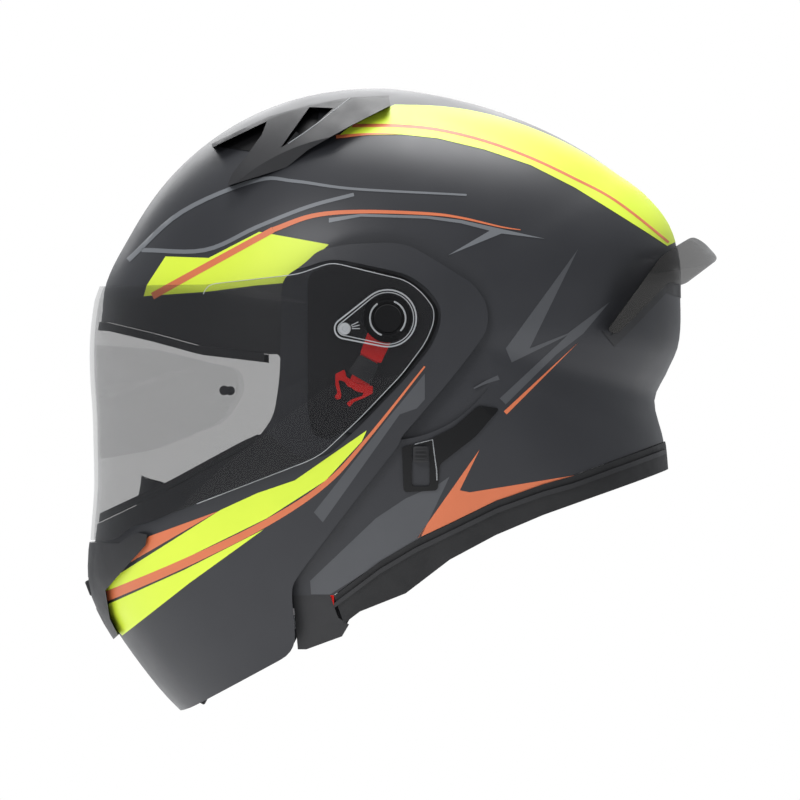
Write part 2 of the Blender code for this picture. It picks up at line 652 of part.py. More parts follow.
def build_strap(helmet):
    """Chin strap halves, anchors and the ratchet buckle."""
    for side in (1, -1):
        name = side_name(side)
        bm = bmesh.new()
        rows = []
        for x, back, up in STRAP_PATH:
            across = Vector(STRAP_ACROSS) * (STRAP_WIDTH / 2 * MM)
            centre = Vector((x * side, back, up)) * MM
            rows.append((bm.verts.new(centre - across), bm.verts.new(centre + across)))
        for (a, b), (c, d) in zip(rows, rows[1:]):
            bm.faces.new((a, b, d, c))
        strap = add_object(f"chin_strap_{name}", finish_bmesh(bm, "strap"), helmet.parts)
        solid = strap.modifiers.new("webbing", "SOLIDIFY")
        solid.thickness = STRAP_THICKNESS * MM
        solid.offset = 0
        paint(strap, "webbing")
        helmet.turned(
            f"strap_anchor_{name}", STRAP_ANCHOR, side, STRAP_ANCHOR_CENTRE, "steel", steps=16
        )
    helmet.block("buckle_body", (38, 22, 7), (4.5, -9, -137.2), "steel", tilt=BUCKLE_TILT)
    helmet.block("ratchet_tongue", (9.0, 16, 2.4), (-19.8, -9, -136.6), "steel", tilt=BUCKLE_TILT, bevel=0.3)
    helmet.block(
        "buckle_lever", (24, 16, 2), (6, -6.9, -142.2), "red", tilt=BUCKLE_TILT, bevel=0.4, pivot=BUCKLE_PIVOT
    )


def build_latch(helmet):
    """Striker pins on the shell, hooks and release button on the chin bar."""
    across, back, up = LATCH_PIVOT
    for side in (1, -1):
        name = side_name(side)
        helmet.plate(
            f"latch_hook_{name}", LATCH_HOOK, *both_sides(side, across - 1.5, across + 1.5), "steel",
            pivot=(side * across, back, up)
        )
        helmet.turned(
            f"striker_pin_{name}", STRIKER_PIN, side, STRIKER_PIN_CENTRE, "steel", steps=12
        )
        helmet.slice(
            f"latch_housing_{name}", (SHELL_RADIUS, 0, SHELL_WIDTH), (SHELL_RADIUS, 4, 116), LATCH_HOUSING,
            "black_matte", *both_sides(side, 40, FAR)
        )
    helmet.block("release_button", (22, 10, 4), RELEASE_BUTTON, "red", tilt=-29, pivot=RELEASE_BUTTON)


def main():
    """Build the helmet."""
    remove_startup_objects()
    helmet = Helmet()
    build_shell(helmet)
    build_brow_gasket(helmet)
    build_liners(helmet)
    build_chin_bar(helmet)
    build_visor_mechanism(helmet)
    build_visor(helmet)
    build_sun_visor(helmet)
    build_top_vents(helmet)
    build_rear(helmet)
    build_strap(helmet)
    build_latch(helmet)


main()
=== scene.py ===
"""Looks of the modular motorcycle helmet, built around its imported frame.

Metres in the scene; outlines and radii are in millimetres. The helmet faces -Y, the wearer's left is +X
and the origin lies halfway between the chin bar pivots. Every curved skin is a slice of the same
egg-shaped forms as the frame's solids, at a finer mesh.
"""

import functools
import math

import bmesh
import bpy
from mathutils import Matrix, Vector


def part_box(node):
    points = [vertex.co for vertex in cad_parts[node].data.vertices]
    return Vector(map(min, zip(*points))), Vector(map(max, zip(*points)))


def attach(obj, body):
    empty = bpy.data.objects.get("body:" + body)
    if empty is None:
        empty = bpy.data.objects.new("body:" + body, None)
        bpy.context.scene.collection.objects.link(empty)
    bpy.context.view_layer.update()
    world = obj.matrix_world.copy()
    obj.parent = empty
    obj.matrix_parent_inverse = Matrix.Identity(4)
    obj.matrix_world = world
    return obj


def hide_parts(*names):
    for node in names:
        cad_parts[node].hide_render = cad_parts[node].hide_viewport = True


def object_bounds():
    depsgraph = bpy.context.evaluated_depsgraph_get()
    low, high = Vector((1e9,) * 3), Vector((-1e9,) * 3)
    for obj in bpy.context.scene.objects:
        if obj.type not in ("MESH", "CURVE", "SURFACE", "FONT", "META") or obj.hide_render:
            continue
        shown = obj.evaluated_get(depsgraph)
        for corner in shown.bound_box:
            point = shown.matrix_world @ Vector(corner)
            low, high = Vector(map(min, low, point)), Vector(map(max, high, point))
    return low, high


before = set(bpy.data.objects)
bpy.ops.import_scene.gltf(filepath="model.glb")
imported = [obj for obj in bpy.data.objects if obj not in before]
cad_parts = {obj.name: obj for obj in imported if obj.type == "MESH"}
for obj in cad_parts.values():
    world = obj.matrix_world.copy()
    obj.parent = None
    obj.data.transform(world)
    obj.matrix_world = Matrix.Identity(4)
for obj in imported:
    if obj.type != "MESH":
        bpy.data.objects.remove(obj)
cad_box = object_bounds()

MM = 0.001
FAR = 220.0
SIDE_POWER = 2.3
AROUND = 192
ACROSS = 72

VISOR_WIDTH = 127.0
VISOR_THICKNESS = 2.2
CHIN_WIDTH = 124.0
CHIN_INNER_WIDTH = 120.8
SHELL_WIDTH = 120.0
SHELL_INNER_WIDTH = 113.0
SHELL_THICKNESS = 4.0
PLATEAU_WIDTH = 114.9
POD_INNER_WIDTH = 116.3
POD_RADIUS = 61.0
FILM_DEPTHS = (2.6, 3.6)
SUN_VISOR_WIDTH = 112.0
SUN_VISOR_THICKNESS = 2.0
EPS_WIDTH = 109.5
EPS_INNER_WIDTH = 88.0
CAP_RADIUS = 8.5
ARM_BOSS = (-21.5, -5.2)
# X ranges of the flat pieces in a pod, and the crest of the pivot cap's ring.
ARM_SPAN = (126.4, 127.7)
BASE_SPAN = (118.5, 119.6)
LEVER_SPAN = (119.9, 121.9)
SPINE_SPAN = (119.9, 121.0)
GRIP_SPAN = (121.1, 122.3)
CREST_X = 128.3
CREST_RADIUS = 8.9
# Painted graphics stand this far out of the lacquer.
DECAL_RISE = 0.14
DECAL_DEPTH = 0.5
LINE_RISE = 0.2
# The remeshed pads, in metres.
PAD_VOXEL = 0.0045

SHELL_RADIUS = (
    (-97, 238), (-80, 226), (-60, 205), (-45, 185), (-20, 158), (0, 146), (7, 145), (18, 138.3),
    (32, 133), (45, 128.5), (62, 123.4), (78, 119.4), (90, 117.8), (100, 117), (111, 118.2),
    (123, 122), (134, 128), (146, 137), (154, 145.5), (161, 151), (168, 151.5), (175, 149.5),
    (185, 148.5), (190.5, 144.7), (197, 142), (204, 154), (210, 165), (225, 205), (240, 230), (252, 241),
)
CHIN_RADIUS = (
    (-97, 246), (-80, 240), (-70, 233), (-62.2, 225.6), (-59, 222), (-55, 217), (-51.5, 213),
    (-46, 207), (-42, 201), (-38, 190), (-34, 178), (-28, 167), (-20, 160), (0, 155), (20, 150),
    (60, 146), (120, 146), (200, 149), (235, 185), (250, 228),
)
VISOR_RADIUS = (
    (-75, 250), (-60, 240), (-50, 224), (-45, 214), (-40, 200), (-37, 190), (-30, 173), (-22, 162),
    (-15, 156.4), (0, 151), (4, 149.8), (8, 147.6), (12, 152), (20, 158), (30, 162), (45, 165),
    (120, 165), (180, 165), (220, 178), (250, 225),
)
EPS_FRONT_RADIUS = (
    (-97, 230), (-80, 215), (-60, 188), (-45, 140), (-35, 113), (-20, 109), (0, 109), (30, 109),
    (60, 109), (75, 109.5), (84, 111.8),
)
EPS_RADIUS = EPS_FRONT_RADIUS + tuple((a, r - SHELL_THICKNESS - 0.8) for a, r in SHELL_RADIUS if a >= 90)
EPS_INNER_RADIUS = (
    (-97, 215), (-80, 200), (-60, 160), (-45, 110), (-35, 98), (-20, 96), (0, 96), (30, 92), (60, 86),
    (75, 83), (90, 82), (105, 83), (120, 86), (135, 95), (150, 106), (165, 112), (180, 113),
    (195, 113), (205, 118), (215, 140), (240, 205),
)
SPOILER_RADIUS = (
    (-97, 262), (-60, 220), (0, 150), (90, 124), (120, 128), (146, 144), (158, 162), (164, 170.5),
    (170, 172), (176, 164), (185, 156), (200, 158), (220, 200), (240, 240), (252, 258),
)
SUN_VISOR_RADIUS = ((0, 112.6), (120, 112.6), (240, 112.6))

# Side-view outlines in millimetres from the pivot: (backward, up).
BROW_EDGE = ((-200, 2), (-143, -1), (-118, -7), (-96, -13), (-62, -17))
FACE_OPENING = BROW_EDGE + (
    (-56, -17), (-48, -26), (-46, -60), (-48, -100), (-48, -141), (-46, -300), (-200, -300),
)
SHELL_BOTTOM = (
    (-60, -139), (-27, -138.7), (-4, -121.4), (14, -110.7), (31, -102.5), (55, -90.8), (78, -82.6),
    (93, -78.5), (113, -71.4), (141, -61.7), (190, -44),
)
TRIM_BOTTOM = (
    (190, -60), (141, -76.5), (126, -81.7), (101, -90.3), (78, -98.4), (54, -108.5), (31, -120.8),
    (9, -137.7), (-14, -146.9), (-22, -153),
)
CHIN_OUTLINE = (
    (-53, 20), (-42, 27), (-35, 34), (-21, 37), (2, 38), (12, 36), (24, 29), (43, 17), (49, 8.5), (50.4, 0.6),
    (49, -7), (42, -17), (31, -31), (14, -51), (7, -59), (5, -64), (-17, -92), (-43, -126), (-48, -134),
    (-48, -141), (-46, -167), (-105, -199.6), (-200, -210), (-200, -112), (-152, -106), (-110, -86),
    (-73, -66), (-65, -60), (-57, -49), (-54, -30),
)
POD_POCKET = (
    (-70, 24), (-46, 24), (-28, 30), (-12, 27), (10, 22), (20, 15), (26.5, 6), (26.5, -3), (22, -14),
    (9, -30), (-12, -52), (-30, -69), (-44, -70), (-70, -50),
)
BASE_PLATE = (
    (-40, 19), (-38, 23), (-28, 27), (-12, 25.5), (9, 20.5), (18.5, 14), (25, 5.5), (25, -2.5),
    (20.5, -13), (8, -29), (-13, -51), (-30, -61), (-38, -58), (-40, -45),
)
VISOR_OUTLINE = (
    (-200, 17), (-91, 17), (-45, 22), (-28, 28), (-12, 24), (9, 19), (17, 13), (23, 5), (23, -2),
    (19, -12), (7, -28), (-14, -50), (-32, -67), (-39, -71), (-91, -91), (-122, -103), (-128, -104),
    (-138, -112), (-200, -112),
)
INSERT_OUTLINE = (
    (-200, -9), (-118, -15), (-94, -21), (-76, -25), (-74, -36), (-84, -52), (-118, -66), (-200, -80),
)
SUN_VISOR_OUTLINE = (
    (-14, 4), (-30, 30), (-51, 28), (-80, 36), (-160, 62), (-160, 170), (-62, 170), (-34, 86), (-16, 60),
    (6, 10), (8, 0), (6, -6), (0, -8), (-7, -6),
)
CHIN_VENT_OUTLINE = (
    (-200, -113.2), (-136, -113.2), (-126, -107.5), (-121, -108.5), (-122, -114), (-143, -137), (-141, -152),
    (-137, -160), (-180, -200), (-200, -200),
)
CHIN_EPS_OUTLINE = (
    (-56, -75), (-76, -74), (-110, -94), (-150, -112), (-200, -117), (-200, -208), (-105, -189),
    (-68, -168), (-66, -140), (-55, -120),
)
LOWER_GASKET = (
    (-200, -111.5), (-152, -105.5), (-110, -85.5), (-73, -65.5), (-66.5, -61), (-64, -57.5),
    (-73, -61.5), (-110, -81.5), (-152, -101), (-200, -106),
)
TOP_VENT_OUTLINE = (
    (-89.3, 88.7), (-61, 102), (-40, 108.3), (-19, 112), (0.4, 113), (1.2, 107.6), (-19, 97), (-40, 85),
    (-51, 76), (-80, 67),
)
VENT_SLOT = ((-51.6, 84.7), (-36.3, 104.1))
VENT_SLOT_HALF = 2.4
# The shutter slides straight over the curved shell, so it sits well clear of it.
SHUTTER_LIFT = 1.8
SPOILER_OUTLINE = (
    (110, -6), (138, 32), (154, 42), (160, 39), (168, 31), (149, 17), (142, 19), (130, 7), (115, -8),
)
RECESS_PANEL = (
    (45.5, -43.5), (56, -45), (44, -59), (26, -73), (25, -86), (8, -87), (7, -64.5), (20, -61),
    (33, -54.5),
)
# A fine ridge on the side panel, drawn as a pale line: partly a real ridge, partly painted highlight.
PANEL_RIDGE_HIGHLIGHT = ((13.5, -62.9), (22.4, -60.6), (23, -66), (23.7, -71), (24.4, -76), (24.6, -81))
LINER_OUTLINE = (
    (-160, 8), (-60, -6), (-30, -12), (10, -20), (60, -30), (130, -40), (170, -40), (170, 170), (-160, 170),
)
CHEEK_OUTLINE = (
    (-47, -24), (-2, -28), (1, -60), (-3, -105), (-12, -122), (-34, -131), (-43, -100), (-48, -60),
)
NECK_ROLL_OUTLINE = (
    (42, -33), (60, -36), (130, -45), (170, -45), (170, -60), (141, -66), (101, -80), (60, -94),
    (42, -101),
)
BREATH_DEFLECTOR = (
    (-170, -112), (-126, -112), (-112, -100), (-112, -84), (-126, -80), (-132, -72), (-170, -72),
)
# The chin curtain: its middle line, rear to front, the form that its edge follows, its arch and its cut.
CURTAIN_REAR = (-55.2, -163.9)
CURTAIN_FRONT = (-86.2, -181.8)
CURTAIN_INSET = 25.7
CURTAIN_WIDTH = 111.8
CURTAIN_ARCH = 3.0
CHIN_VENT_MOUTH = ((-200, -131), (-130, -131), (-130, -147), (-200, -147))
SUN_SLIDER_WINDOW = ((12, -63), (21, -63), (21, -84), (12, -84))
STRAP_PATH = ((79, 24, -78), (74, 21, -92), (62, 14, -110), (44, 4, -125), (26, -8, -134.5))
STRAP_ACROSS = (0, 0.94, 0.34)

# Graphics, as side-view outlines on both sides of the shell.
CROWN_BAND = (
    (-26, 91.3), (-12, 102.5), (3, 108.2), (3, 140), (154, 140), (154, 43.6), (141.5, 37.2), (114.8, 53.6),
    (94.1, 66.3), (71.9, 77.5), (48.5, 85.3), (25, 90.9), (6.9, 92.8), (-10, 92.4),
)
# Seen from above, the lacquer left free between the two halves of the band: (backward, half width).
CROWN_GAP = (
    (-5, 58), (10, 54), (24, 48.5), (36, 43.5), (48, 39), (60, 34.8), (72, 30.8), (84, 26.8), (96, 22.4),
    (108, 17.4), (118, 12.4), (127, 6.8), (133, 2.2),
)
CROWN_LINE = (
    (-18, 97.4), (4.3, 97.3), (25, 95.4), (48.5, 89.8), (71.9, 81.3), (94.1, 70.9), (114.8, 59.9),
    (142.3, 39.1),
)
CROWN_EDGE_LINE = ((-26, 91.6), (-10, 93), (5, 93.1))
FOREHEAD = (
    (-112, 31.5), (-90, 30.5), (-64.5, 43.5), (-29.5, 37), (-45.5, 22.5), (-49, 18), (-66.5, 16.5),
    (-91, 13.5), (-123, 11.5), (-121.5, 17),
)
FOREHEAD_STRIPE = ((-118.5, 11.5), (-88, 28), (-57.5, 44.5))
FLAME_LINE = (
    (-57.5, 44.5), (-37.5, 51.5), (-13.5, 53.5), (19.5, 52.5), (36.5, 50.5), (56.5, 46), (66.5, 44.5),
)
GREY_OUTER = ((-131.5, 30), (-104, 54), (-66.5, 69.5), (-46.5, 69), (-17, 65), (39.5, 62))
GREY_INNER = ((-124.5, 35), (-92, 34.5), (-65.5, 46), (-40, 56), (-17, 62.2))
GREY_FLAME = (
    (-29.5, 48), (-13.5, 51), (19.5, 50), (36.5, 47.7), (51, 44), (30, 31.5), (57, 42.6), (79, 40),
    (57, 44.9), (36.5, 49.4), (19.5, 51.4), (-13.5, 52.4), (-29.5, 50.3),
)
LIGHTNING = (
    (59, -15), (95.5, 35), (71, -15), (90, -7.5), (111.5, 8.5), (98, -7.5), (84.5, -18), (59, -43),
    (56, -40), (90, -8.4), (62, -22),
)
LIGHT_STREAK = ((95.5, -12), (59.5, -48), (58, -46.5))
GREY_STROKE = ((43, -35), (49, -32), (55.5, -29.5))
CHEVRON = ((46, -65.5), (36, -86), (41, -87), (94, -78.5), (54.5, -91), (31, -102.5), (14.5, -110.2))
CHIN_YELLOW_UPPER = (
    (-10.5, -56), (-46.5, -81), (-65.5, -87.5), (-84, -96), (-141, -132), (-150, -140), (-141, -140.2),
    (-102, -120.5), (-60.5, -100), (-31, -81), (-13, -61.5),
)
CHIN_YELLOW_LOWER = ((-150, -148), (-135, -160.5), (-100, -133), (-62, -105.5), (-102, -126))
CHIN_STRIPE = ((-150, -143.5), (-102, -122.7), (-60.5, -102.2), (-31, -82.6), (-11, -61), (18.5, -24))
CHIN_TRIANGLE = ((-120.5, -109.5), (-85, -96.5), (-130.5, -123))
CHIN_GREY = (
    (18.5, -27.5), (18.5, -40.5), (14.5, -45), (6, -48), (-32.5, -102), (-37, -97), (0, -50), (10, -38),
)
LOWER_GREY = (
    (-39, -131.5), (-38.5, -138.3), (-29, -138.3), (16.5, -109.6), (31, -79), (26, -82.5), (9, -90),
    (-6, -100),
)
BROW_BLACK = (
    (-200, 8.5), (-123, 10.5), (-91, 12.5), (-66.5, 15.5), (-50, 17), (-44, 22), (-40, 0), (-40, -60),
    (-200, -60),
)
SPOILER_BASE = (
    (107.5, -6.2), (112, -8.5), (127, 6.5), (140, 19), (150, 17.5), (152, 15), (150, 11), (141, 13.5),
    (129, 1), (114, -14),
)
CORNER_HOUSING = (
    (-47.6, -138.9), (-29, -138.6), (-25, -150), (-19.5, -153.5), (-23, -159.5), (-41, -166.2),
    (-45.3, -166.2),
)
# Top vents: the open front under the lip, a black sheet of painted shadow for its shaded inside, and the gap
# before the wing with painted shadow on its dark half.
VENT_FRONT = (
    (-89.5, 86.4), (-61, 99.9), (-63.5, 93), (-70.5, 83), (-78, 73.5), (-81.2, 66), (-100, 66), (-100, 80),
)
VENT_SHADOW = ((-88, 87.6), (-59, 103), (-60, 92), (-68.8, 84.6))
VENT_GAP = ((-54, 85.9), (-39.6, 107), (-27.4, 106.4), (-36, 98.4), (-50.5, 88))
VENT_GAP_SHADOW = ((-54.5, 85.4), (-41, 108), (-34.8, 104.8), (-35.5, 98.8), (-50, 87))
# Painted highlight: a pale line along the wing's front edge.
VENT_WING_HIGHLIGHT = ((-19.1, 111.6), (-27, 105.2), (-35.9, 98), (-43.5, 92.5), (-50.2, 88))


def smooth_radius(table, angle):
    """Radius at an angle in degrees, on a closed Hermite curve through the table's points."""
    first = table[0][0]
    angle = (angle - first) % 360 + first
    count = len(table)
    points = [(table[i % count][0] + 360 * (i // count), table[i % count][1]) for i in range(-1, count + 2)]
    index = 1
    while points[index + 1][0] < angle:
        index += 1
    (a0, r0), (a1, r1), (a2, r2), (a3, r3) = points[index - 1:index + 3]
    span = a2 - a1
    slope_1 = (r2 - r0) / (a2 - a0) * span
    slope_2 = (r3 - r1) / (a3 - a1) * span
    t = (angle - a1) / span
    start = (2 * t ** 3 - 3 * t ** 2 + 1) * r1 + (t ** 3 - 2 * t ** 2 + t) * slope_1
    return start + (3 * t ** 2 - 2 * t ** 3) * r2 + (t ** 3 - t ** 2) * slope_2


@functools.lru_cache(maxsize=None)
def column_radii(table):
    """Radii of a form's meridians, by the sphere's longitude in steps."""
    return tuple(smooth_radius(table, 360 * step / AROUND) for step in range(AROUND))


def form_mesh(table, inset, width):
    """Vertices and outward faces of one closed egg-shaped surface, with its poles on X."""
    radii = column_radii(table)
    verts = [(width * MM, 0, 0)]
    for row in range(1, ACROSS):
        slope = math.pi * row / ACROSS
        level = math.sin(slope) ** (2 / SIDE_POWER)
        side = math.copysign(abs(math.cos(slope)) ** (2 / SIDE_POWER), math.cos(slope)) * width
        for column in range(AROUND):
            angle = math.tau * column / AROUND
            radius = (radii[column] - inset) * level
            verts.append((side * MM, -radius * math.cos(angle) * MM, radius * math.sin(angle) * MM))
    verts.append((-width * MM, 0, 0))
    last = len(verts) - 1
    faces = []
    for column in range(AROUND):
        after = (column + 1) % AROUND
        faces.append((0, 1 + after, 1 + column))
        for row in range(ACROSS - 2):
            first = 1 + row * AROUND
            second = first + AROUND
            faces.append((first + column, first + after, second + after, second + column))
        end = 1 + (ACROSS - 2) * AROUND
        faces.append((end + column, end + after, last))
    return verts, faces


def form_side(table, inset, width, back, up):
    """X of a form's left surface above a point of the side view, in millimetres."""
    reach = smooth_radius(table, math.degrees(math.atan2(up, -back))) - inset
    share = min(1.0, math.hypot(back, up) / reach)
    return width * (1 - share ** SIDE_POWER) ** (1 / SIDE_POWER)


def rounded(points, radius=6.0, steps=5):
    """An outline whose corners are turned into short curves."""
    result = []
    count = len(points)
    for index in range(count):
        corner = Vector(points[index])
        before = Vector(points[index - 1]) - corner
        after = Vector(points[(index + 1) % count]) - corner
        reach = min(radius, 0.45 * before.length, 0.45 * after.length)
        start = corner + before.normalized() * reach
        end = corner + after.normalized() * reach
        for step in range(steps + 1):
            t = step / steps
            result.append(tuple(start * (1 - t) ** 2 + corner * 2 * t * (1 - t) + end * t * t))
    return tuple(result)


def spline_points(points, steps=6):
    """Points on a smooth curve through the given ones."""
    ends = [Vector(p) for p in points]
    ends = [ends[0] * 2 - ends[1]] + ends + [ends[-1] * 2 - ends[-2]]
    result = []
    for p0, p1, p2, p3 in zip(ends, ends[1:], ends[2:], ends[3:]):
        for step in range(steps):
            t = step / steps
            result.append(0.5 * (2 * p1 + (p2 - p0) * t + (2 * p0 - 5 * p1 + 4 * p2 - p3) * t * t
                                 + (3 * p1 - p0 - 3 * p2 + p3) * t ** 3))
    result.append(ends[-2])
    return result


def ribbon(points, start_width, end_width):
    """Outline of a stripe along a smooth line, with a width at each end in millimetres."""
    line = spline_points(points)
    left, right = [], []
    for index, point in enumerate(line):
        run = line[min(index + 1, len(line) - 1)] - line[max(index - 1, 0)]
        width = start_width + (end_width - start_width) * index / (len(line) - 1)
        across = Vector((-run.y, run.x)).normalized() * width / 2
        left.append(tuple(point + across))
        right.append(tuple(point - across))
    return tuple(left + right[::-1])


def hull_of_discs(first, first_radius, second, second_radius, steps=24):
    """Outline of the teardrop round two discs."""
    first, second = Vector(first), Vector(second)
    run = second - first
    lean = math.acos((first_radius - second_radius) / run.length)
    heading = math.atan2(run.y, run.x)
    result = []
    for centre, radius, low, high in (
        (first, first_radius, heading + lean, heading + 2 * math.pi - lean),
        (second, second_radius, heading - lean, heading + lean),
    ):
        for step in range(steps + 1):
            angle = low + (high - low) * step / steps
            result.append((centre.x + radius * math.cos(angle), centre.y + radius * math.sin(angle)))
    return tuple(result)


def outline_solid(points, low, high):
    """Mesh of a side-view outline, thick along X from low to high."""
    curve = bpy.data.curves.new("outline", "CURVE")
    curve.dimensions = "2D"
    curve.fill_mode = "BOTH"
    curve.extrude = (high - low) / 2 * MM
    spline = curve.splines.new("POLY")
    spline.points.add(len(points) - 1)
    for point, (back, up) in zip(spline.points, points):
        point.co = (back * MM, up * MM, 0, 1)
    spline.use_cyclic_u = True
    holder = bpy.data.objects.new("outline", curve)
    bpy.context.scene.collection.objects.link(holder)
    graph = bpy.context.evaluated_depsgraph_get()
    mesh = bpy.data.meshes.new_from_object(holder.evaluated_get(graph))
    bpy.data.objects.remove(holder, do_unlink=True)
    bpy.data.curves.remove(curve)
    turn = Matrix(((0, 0, 1, (low + high) / 2 * MM), (1, 0, 0, 0), (0, 1, 0, 0), (0, 0, 0, 1)))
    bm = bmesh.new()
    bm.from_mesh(mesh)
    bmesh.ops.remove_doubles(bm, verts=bm.verts, dist=0.000002)
    bmesh.ops.transform(bm, matrix=turn, verts=bm.verts)
    bmesh.ops.recalc_face_normals(bm, faces=bm.faces)
    bm.to_mesh(mesh)
    bm.free()
    return mesh


def plan_solid(points, low, high):
    """Mesh of an outline seen from above, mirrored across the middle, thick along Z from low to high."""
    loop = [(half, back) for back, half in points] + [(-half, back) for back, half in reversed(points)]
    count = len(loop)
    verts = [Vector((x, back, up)) * MM for up in (low, high) for x, back in loop]
    faces = [tuple(reversed(range(count))), tuple(range(count, 2 * count))]
    faces += [(i, (i + 1) % count, (i + 1) % count + count, i + count) for i in range(count)]
    mesh = bpy.data.meshes.new("plan")
    mesh.from_pydata(verts, [], faces)
    return mesh


def add_object(name, mesh):
    """Link a mesh as an object."""
    thing = bpy.data.objects.new(name, mesh)
    bpy.context.scene.collection.objects.link(thing)
    return thing


def finish_bmesh(bm, name):
    """Turn a bmesh into a mesh."""
    mesh = bpy.data.meshes.new(name)
    bm.to_mesh(mesh)
    bm.free()
    return mesh


def settle(thing):
    """Apply the object's modifiers to its mesh."""
    graph = bpy.context.evaluated_depsgraph_get()
    mesh = bpy.data.meshes.new_from_object(thing.evaluated_get(graph))
    old = thing.data
    thing.modifiers.clear()
    thing.data = mesh
    bpy.data.meshes.remove(old)
    return thing


def smooth(thing, angle=35):
    """Shade smooth, with sharp edges where the surface folds."""
    thing.data.shade_smooth()
    thing.data.set_sharp_from_angle(angle=math.radians(angle))
    return thing


def boolean(thing, operation, meshes):
    """Cut or keep with one cutter made of separate closed meshes."""
    bm = bmesh.new()
    for mesh in meshes:
        bm.from_mesh(mesh)
        bpy.data.meshes.remove(mesh)
    cutter = add_object("cutter", finish_bmesh(bm, "cutter"))
    modifier = thing.modifiers.new("cut", "BOOLEAN")
    modifier.operation = operation
    modifier.solver = "EXACT"
    modifier.object = cutter
    settle(thing)
    bpy.data.objects.remove(cutter, do_unlink=True)
    return thing


def keep(thing, outlines, low=-FAR, high=FAR):
    """Keep what lies inside the side-view outlines."""
    return boolean(thing, "INTERSECT", [outline_solid(points, low, high) for points in outlines])


def cut(thing, outlines, low=-FAR, high=FAR):
    """Cut the side-view outlines away."""
    return boolean(thing, "DIFFERENCE", [outline_solid(points, low, high) for points in outlines])


def disc(radius, low, high, centre=(0, 0), steps=96):
    """A cylinder along X, turned a little so that its corners miss the forms' meridians."""
    bm = bmesh.new()
    bmesh.ops.create_cone(bm, cap_ends=True, segments=steps, radius1=radius * MM, radius2=radius * MM,
                          depth=(high - low) * MM)
    place = Matrix.Translation(Vector(((low + high) / 2, *centre)) * MM)
    twist = Matrix.Rotation(math.radians(0.7), 4, "X")
    bmesh.ops.transform(bm, matrix=place @ twist @ Matrix.Rotation(math.pi / 2, 4, "Y"), verts=bm.verts)
    return finish_bmesh(bm, "disc")


def both_sides(side, low, high):
    """X range of a piece on the left (+1) or on the right (-1)."""
    return (low, high) if side > 0 else (-high, -low)


def layer(name, outer, inner=None):
    """The closed layer between two forms, each (table, inset, half width), or one solid form."""
    verts, faces = form_mesh(*outer)
    if inner:
        inside, lining = form_mesh(*inner)
        offset = len(verts)
        verts = verts + inside
        faces = faces + [tuple(offset + index for index in reversed(face)) for face in lining]
    mesh = bpy.data.meshes.new(name)
    mesh.from_pydata(verts, [], faces)
    return add_object(name, mesh)


def skin(name, outer, inner, outlines, low=-FAR, high=FAR):
    """A slice of the layer between two forms, inside side-view outlines."""
    return smooth(keep(layer(name, outer, inner), outlines, low, high))


def dress(thing, material, body, replaces=()):
    """Paint a piece, let it ride on a body, and hide the CAD nodes it stands for."""
    if not thing.data.polygons:
        raise ValueError(f"{thing.name} came out empty")
    thing.data.materials.clear()
    thing.data.materials.append(material)
    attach(thing, body)
    if replaces:
        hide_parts(*replaces)
    return thing


def side_name(side):
    """Name ending for a side."""
    return "left" if side > 0 else "right"


def turned(name, profile, side, centre=(0, 0), steps=96):
    """A turned piece on an axis along X: profile points are (radius, x), outermost x first."""
    bm = bmesh.new()
    verts = [bm.verts.new((0, radius * MM, x * MM)) for radius, x in profile]
    edges = [bm.edges.new(pair) for pair in zip(verts, verts[1:])]
    bmesh.ops.spin(bm, geom=verts + edges, cent=(0, 0, 0), axis=(0, 0, 1), dvec=(0, 0, 0),
                   angle=math.tau, steps=steps, use_merge=True, use_duplicate=False)
    bmesh.ops.remove_doubles(bm, verts=bm.verts, dist=0.000002)
    bmesh.ops.recalc_face_normals(bm, faces=bm.faces)
    turn = Matrix.Rotation(math.radians(90 * side), 4, "Y")
    place = Matrix.Translation(Vector((0, *centre)) * MM)
    bmesh.ops.transform(bm, matrix=place @ turn, verts=bm.verts)
    return smooth(add_object(name, finish_bmesh(bm, name)))


def tube(name, points, radius):
    """A thin rod along points, closed at both ends."""
    curve = bpy.data.curves.new(name, "CURVE")
    curve.dimensions = "3D"
    curve.bevel_depth = radius * MM
    curve.bevel_resolution = 4
    curve.use_fill_caps = True
    spline = curve.splines.new("POLY")
    spline.points.add(len(points) - 1)
    for point, co in zip(spline.points, points):
        point.co = (*(Vector(co) * MM), 1)
    holder = bpy.data.objects.new(name, curve)
    bpy.context.scene.collection.objects.link(holder)
    graph = bpy.context.evaluated_depsgraph_get()
    mesh = bpy.data.meshes.new_from_object(holder.evaluated_get(graph))
    bpy.data.objects.remove(holder, do_unlink=True)
    bpy.data.curves.remove(curve)
    return smooth(add_object(name, mesh), 60)


def bevelled(thing, width):
    """Round the sharp edges."""
    edge = thing.modifiers.new("edge", "BEVEL")
    edge.width = width * MM
    edge.segments = 2
    edge.limit_method = "ANGLE"
    edge.angle_limit = math.radians(40)
    return smooth(settle(thing))


def plate(name, points, low, high, edge=0.3):
    """A flat piece with a side-view outline and rounded edges."""
    thing = add_object(name, outline_solid(points, low, high))
    return bevelled(thing, edge)


def join(name, things):
    """Join pieces that are one moulding or one group of equal parts."""
    bm = bmesh.new()
    for thing in things:
        bm.from_mesh(thing.data)
        bpy.data.objects.remove(thing, do_unlink=True)
    return smooth(add_object(name, finish_bmesh(bm, name)))


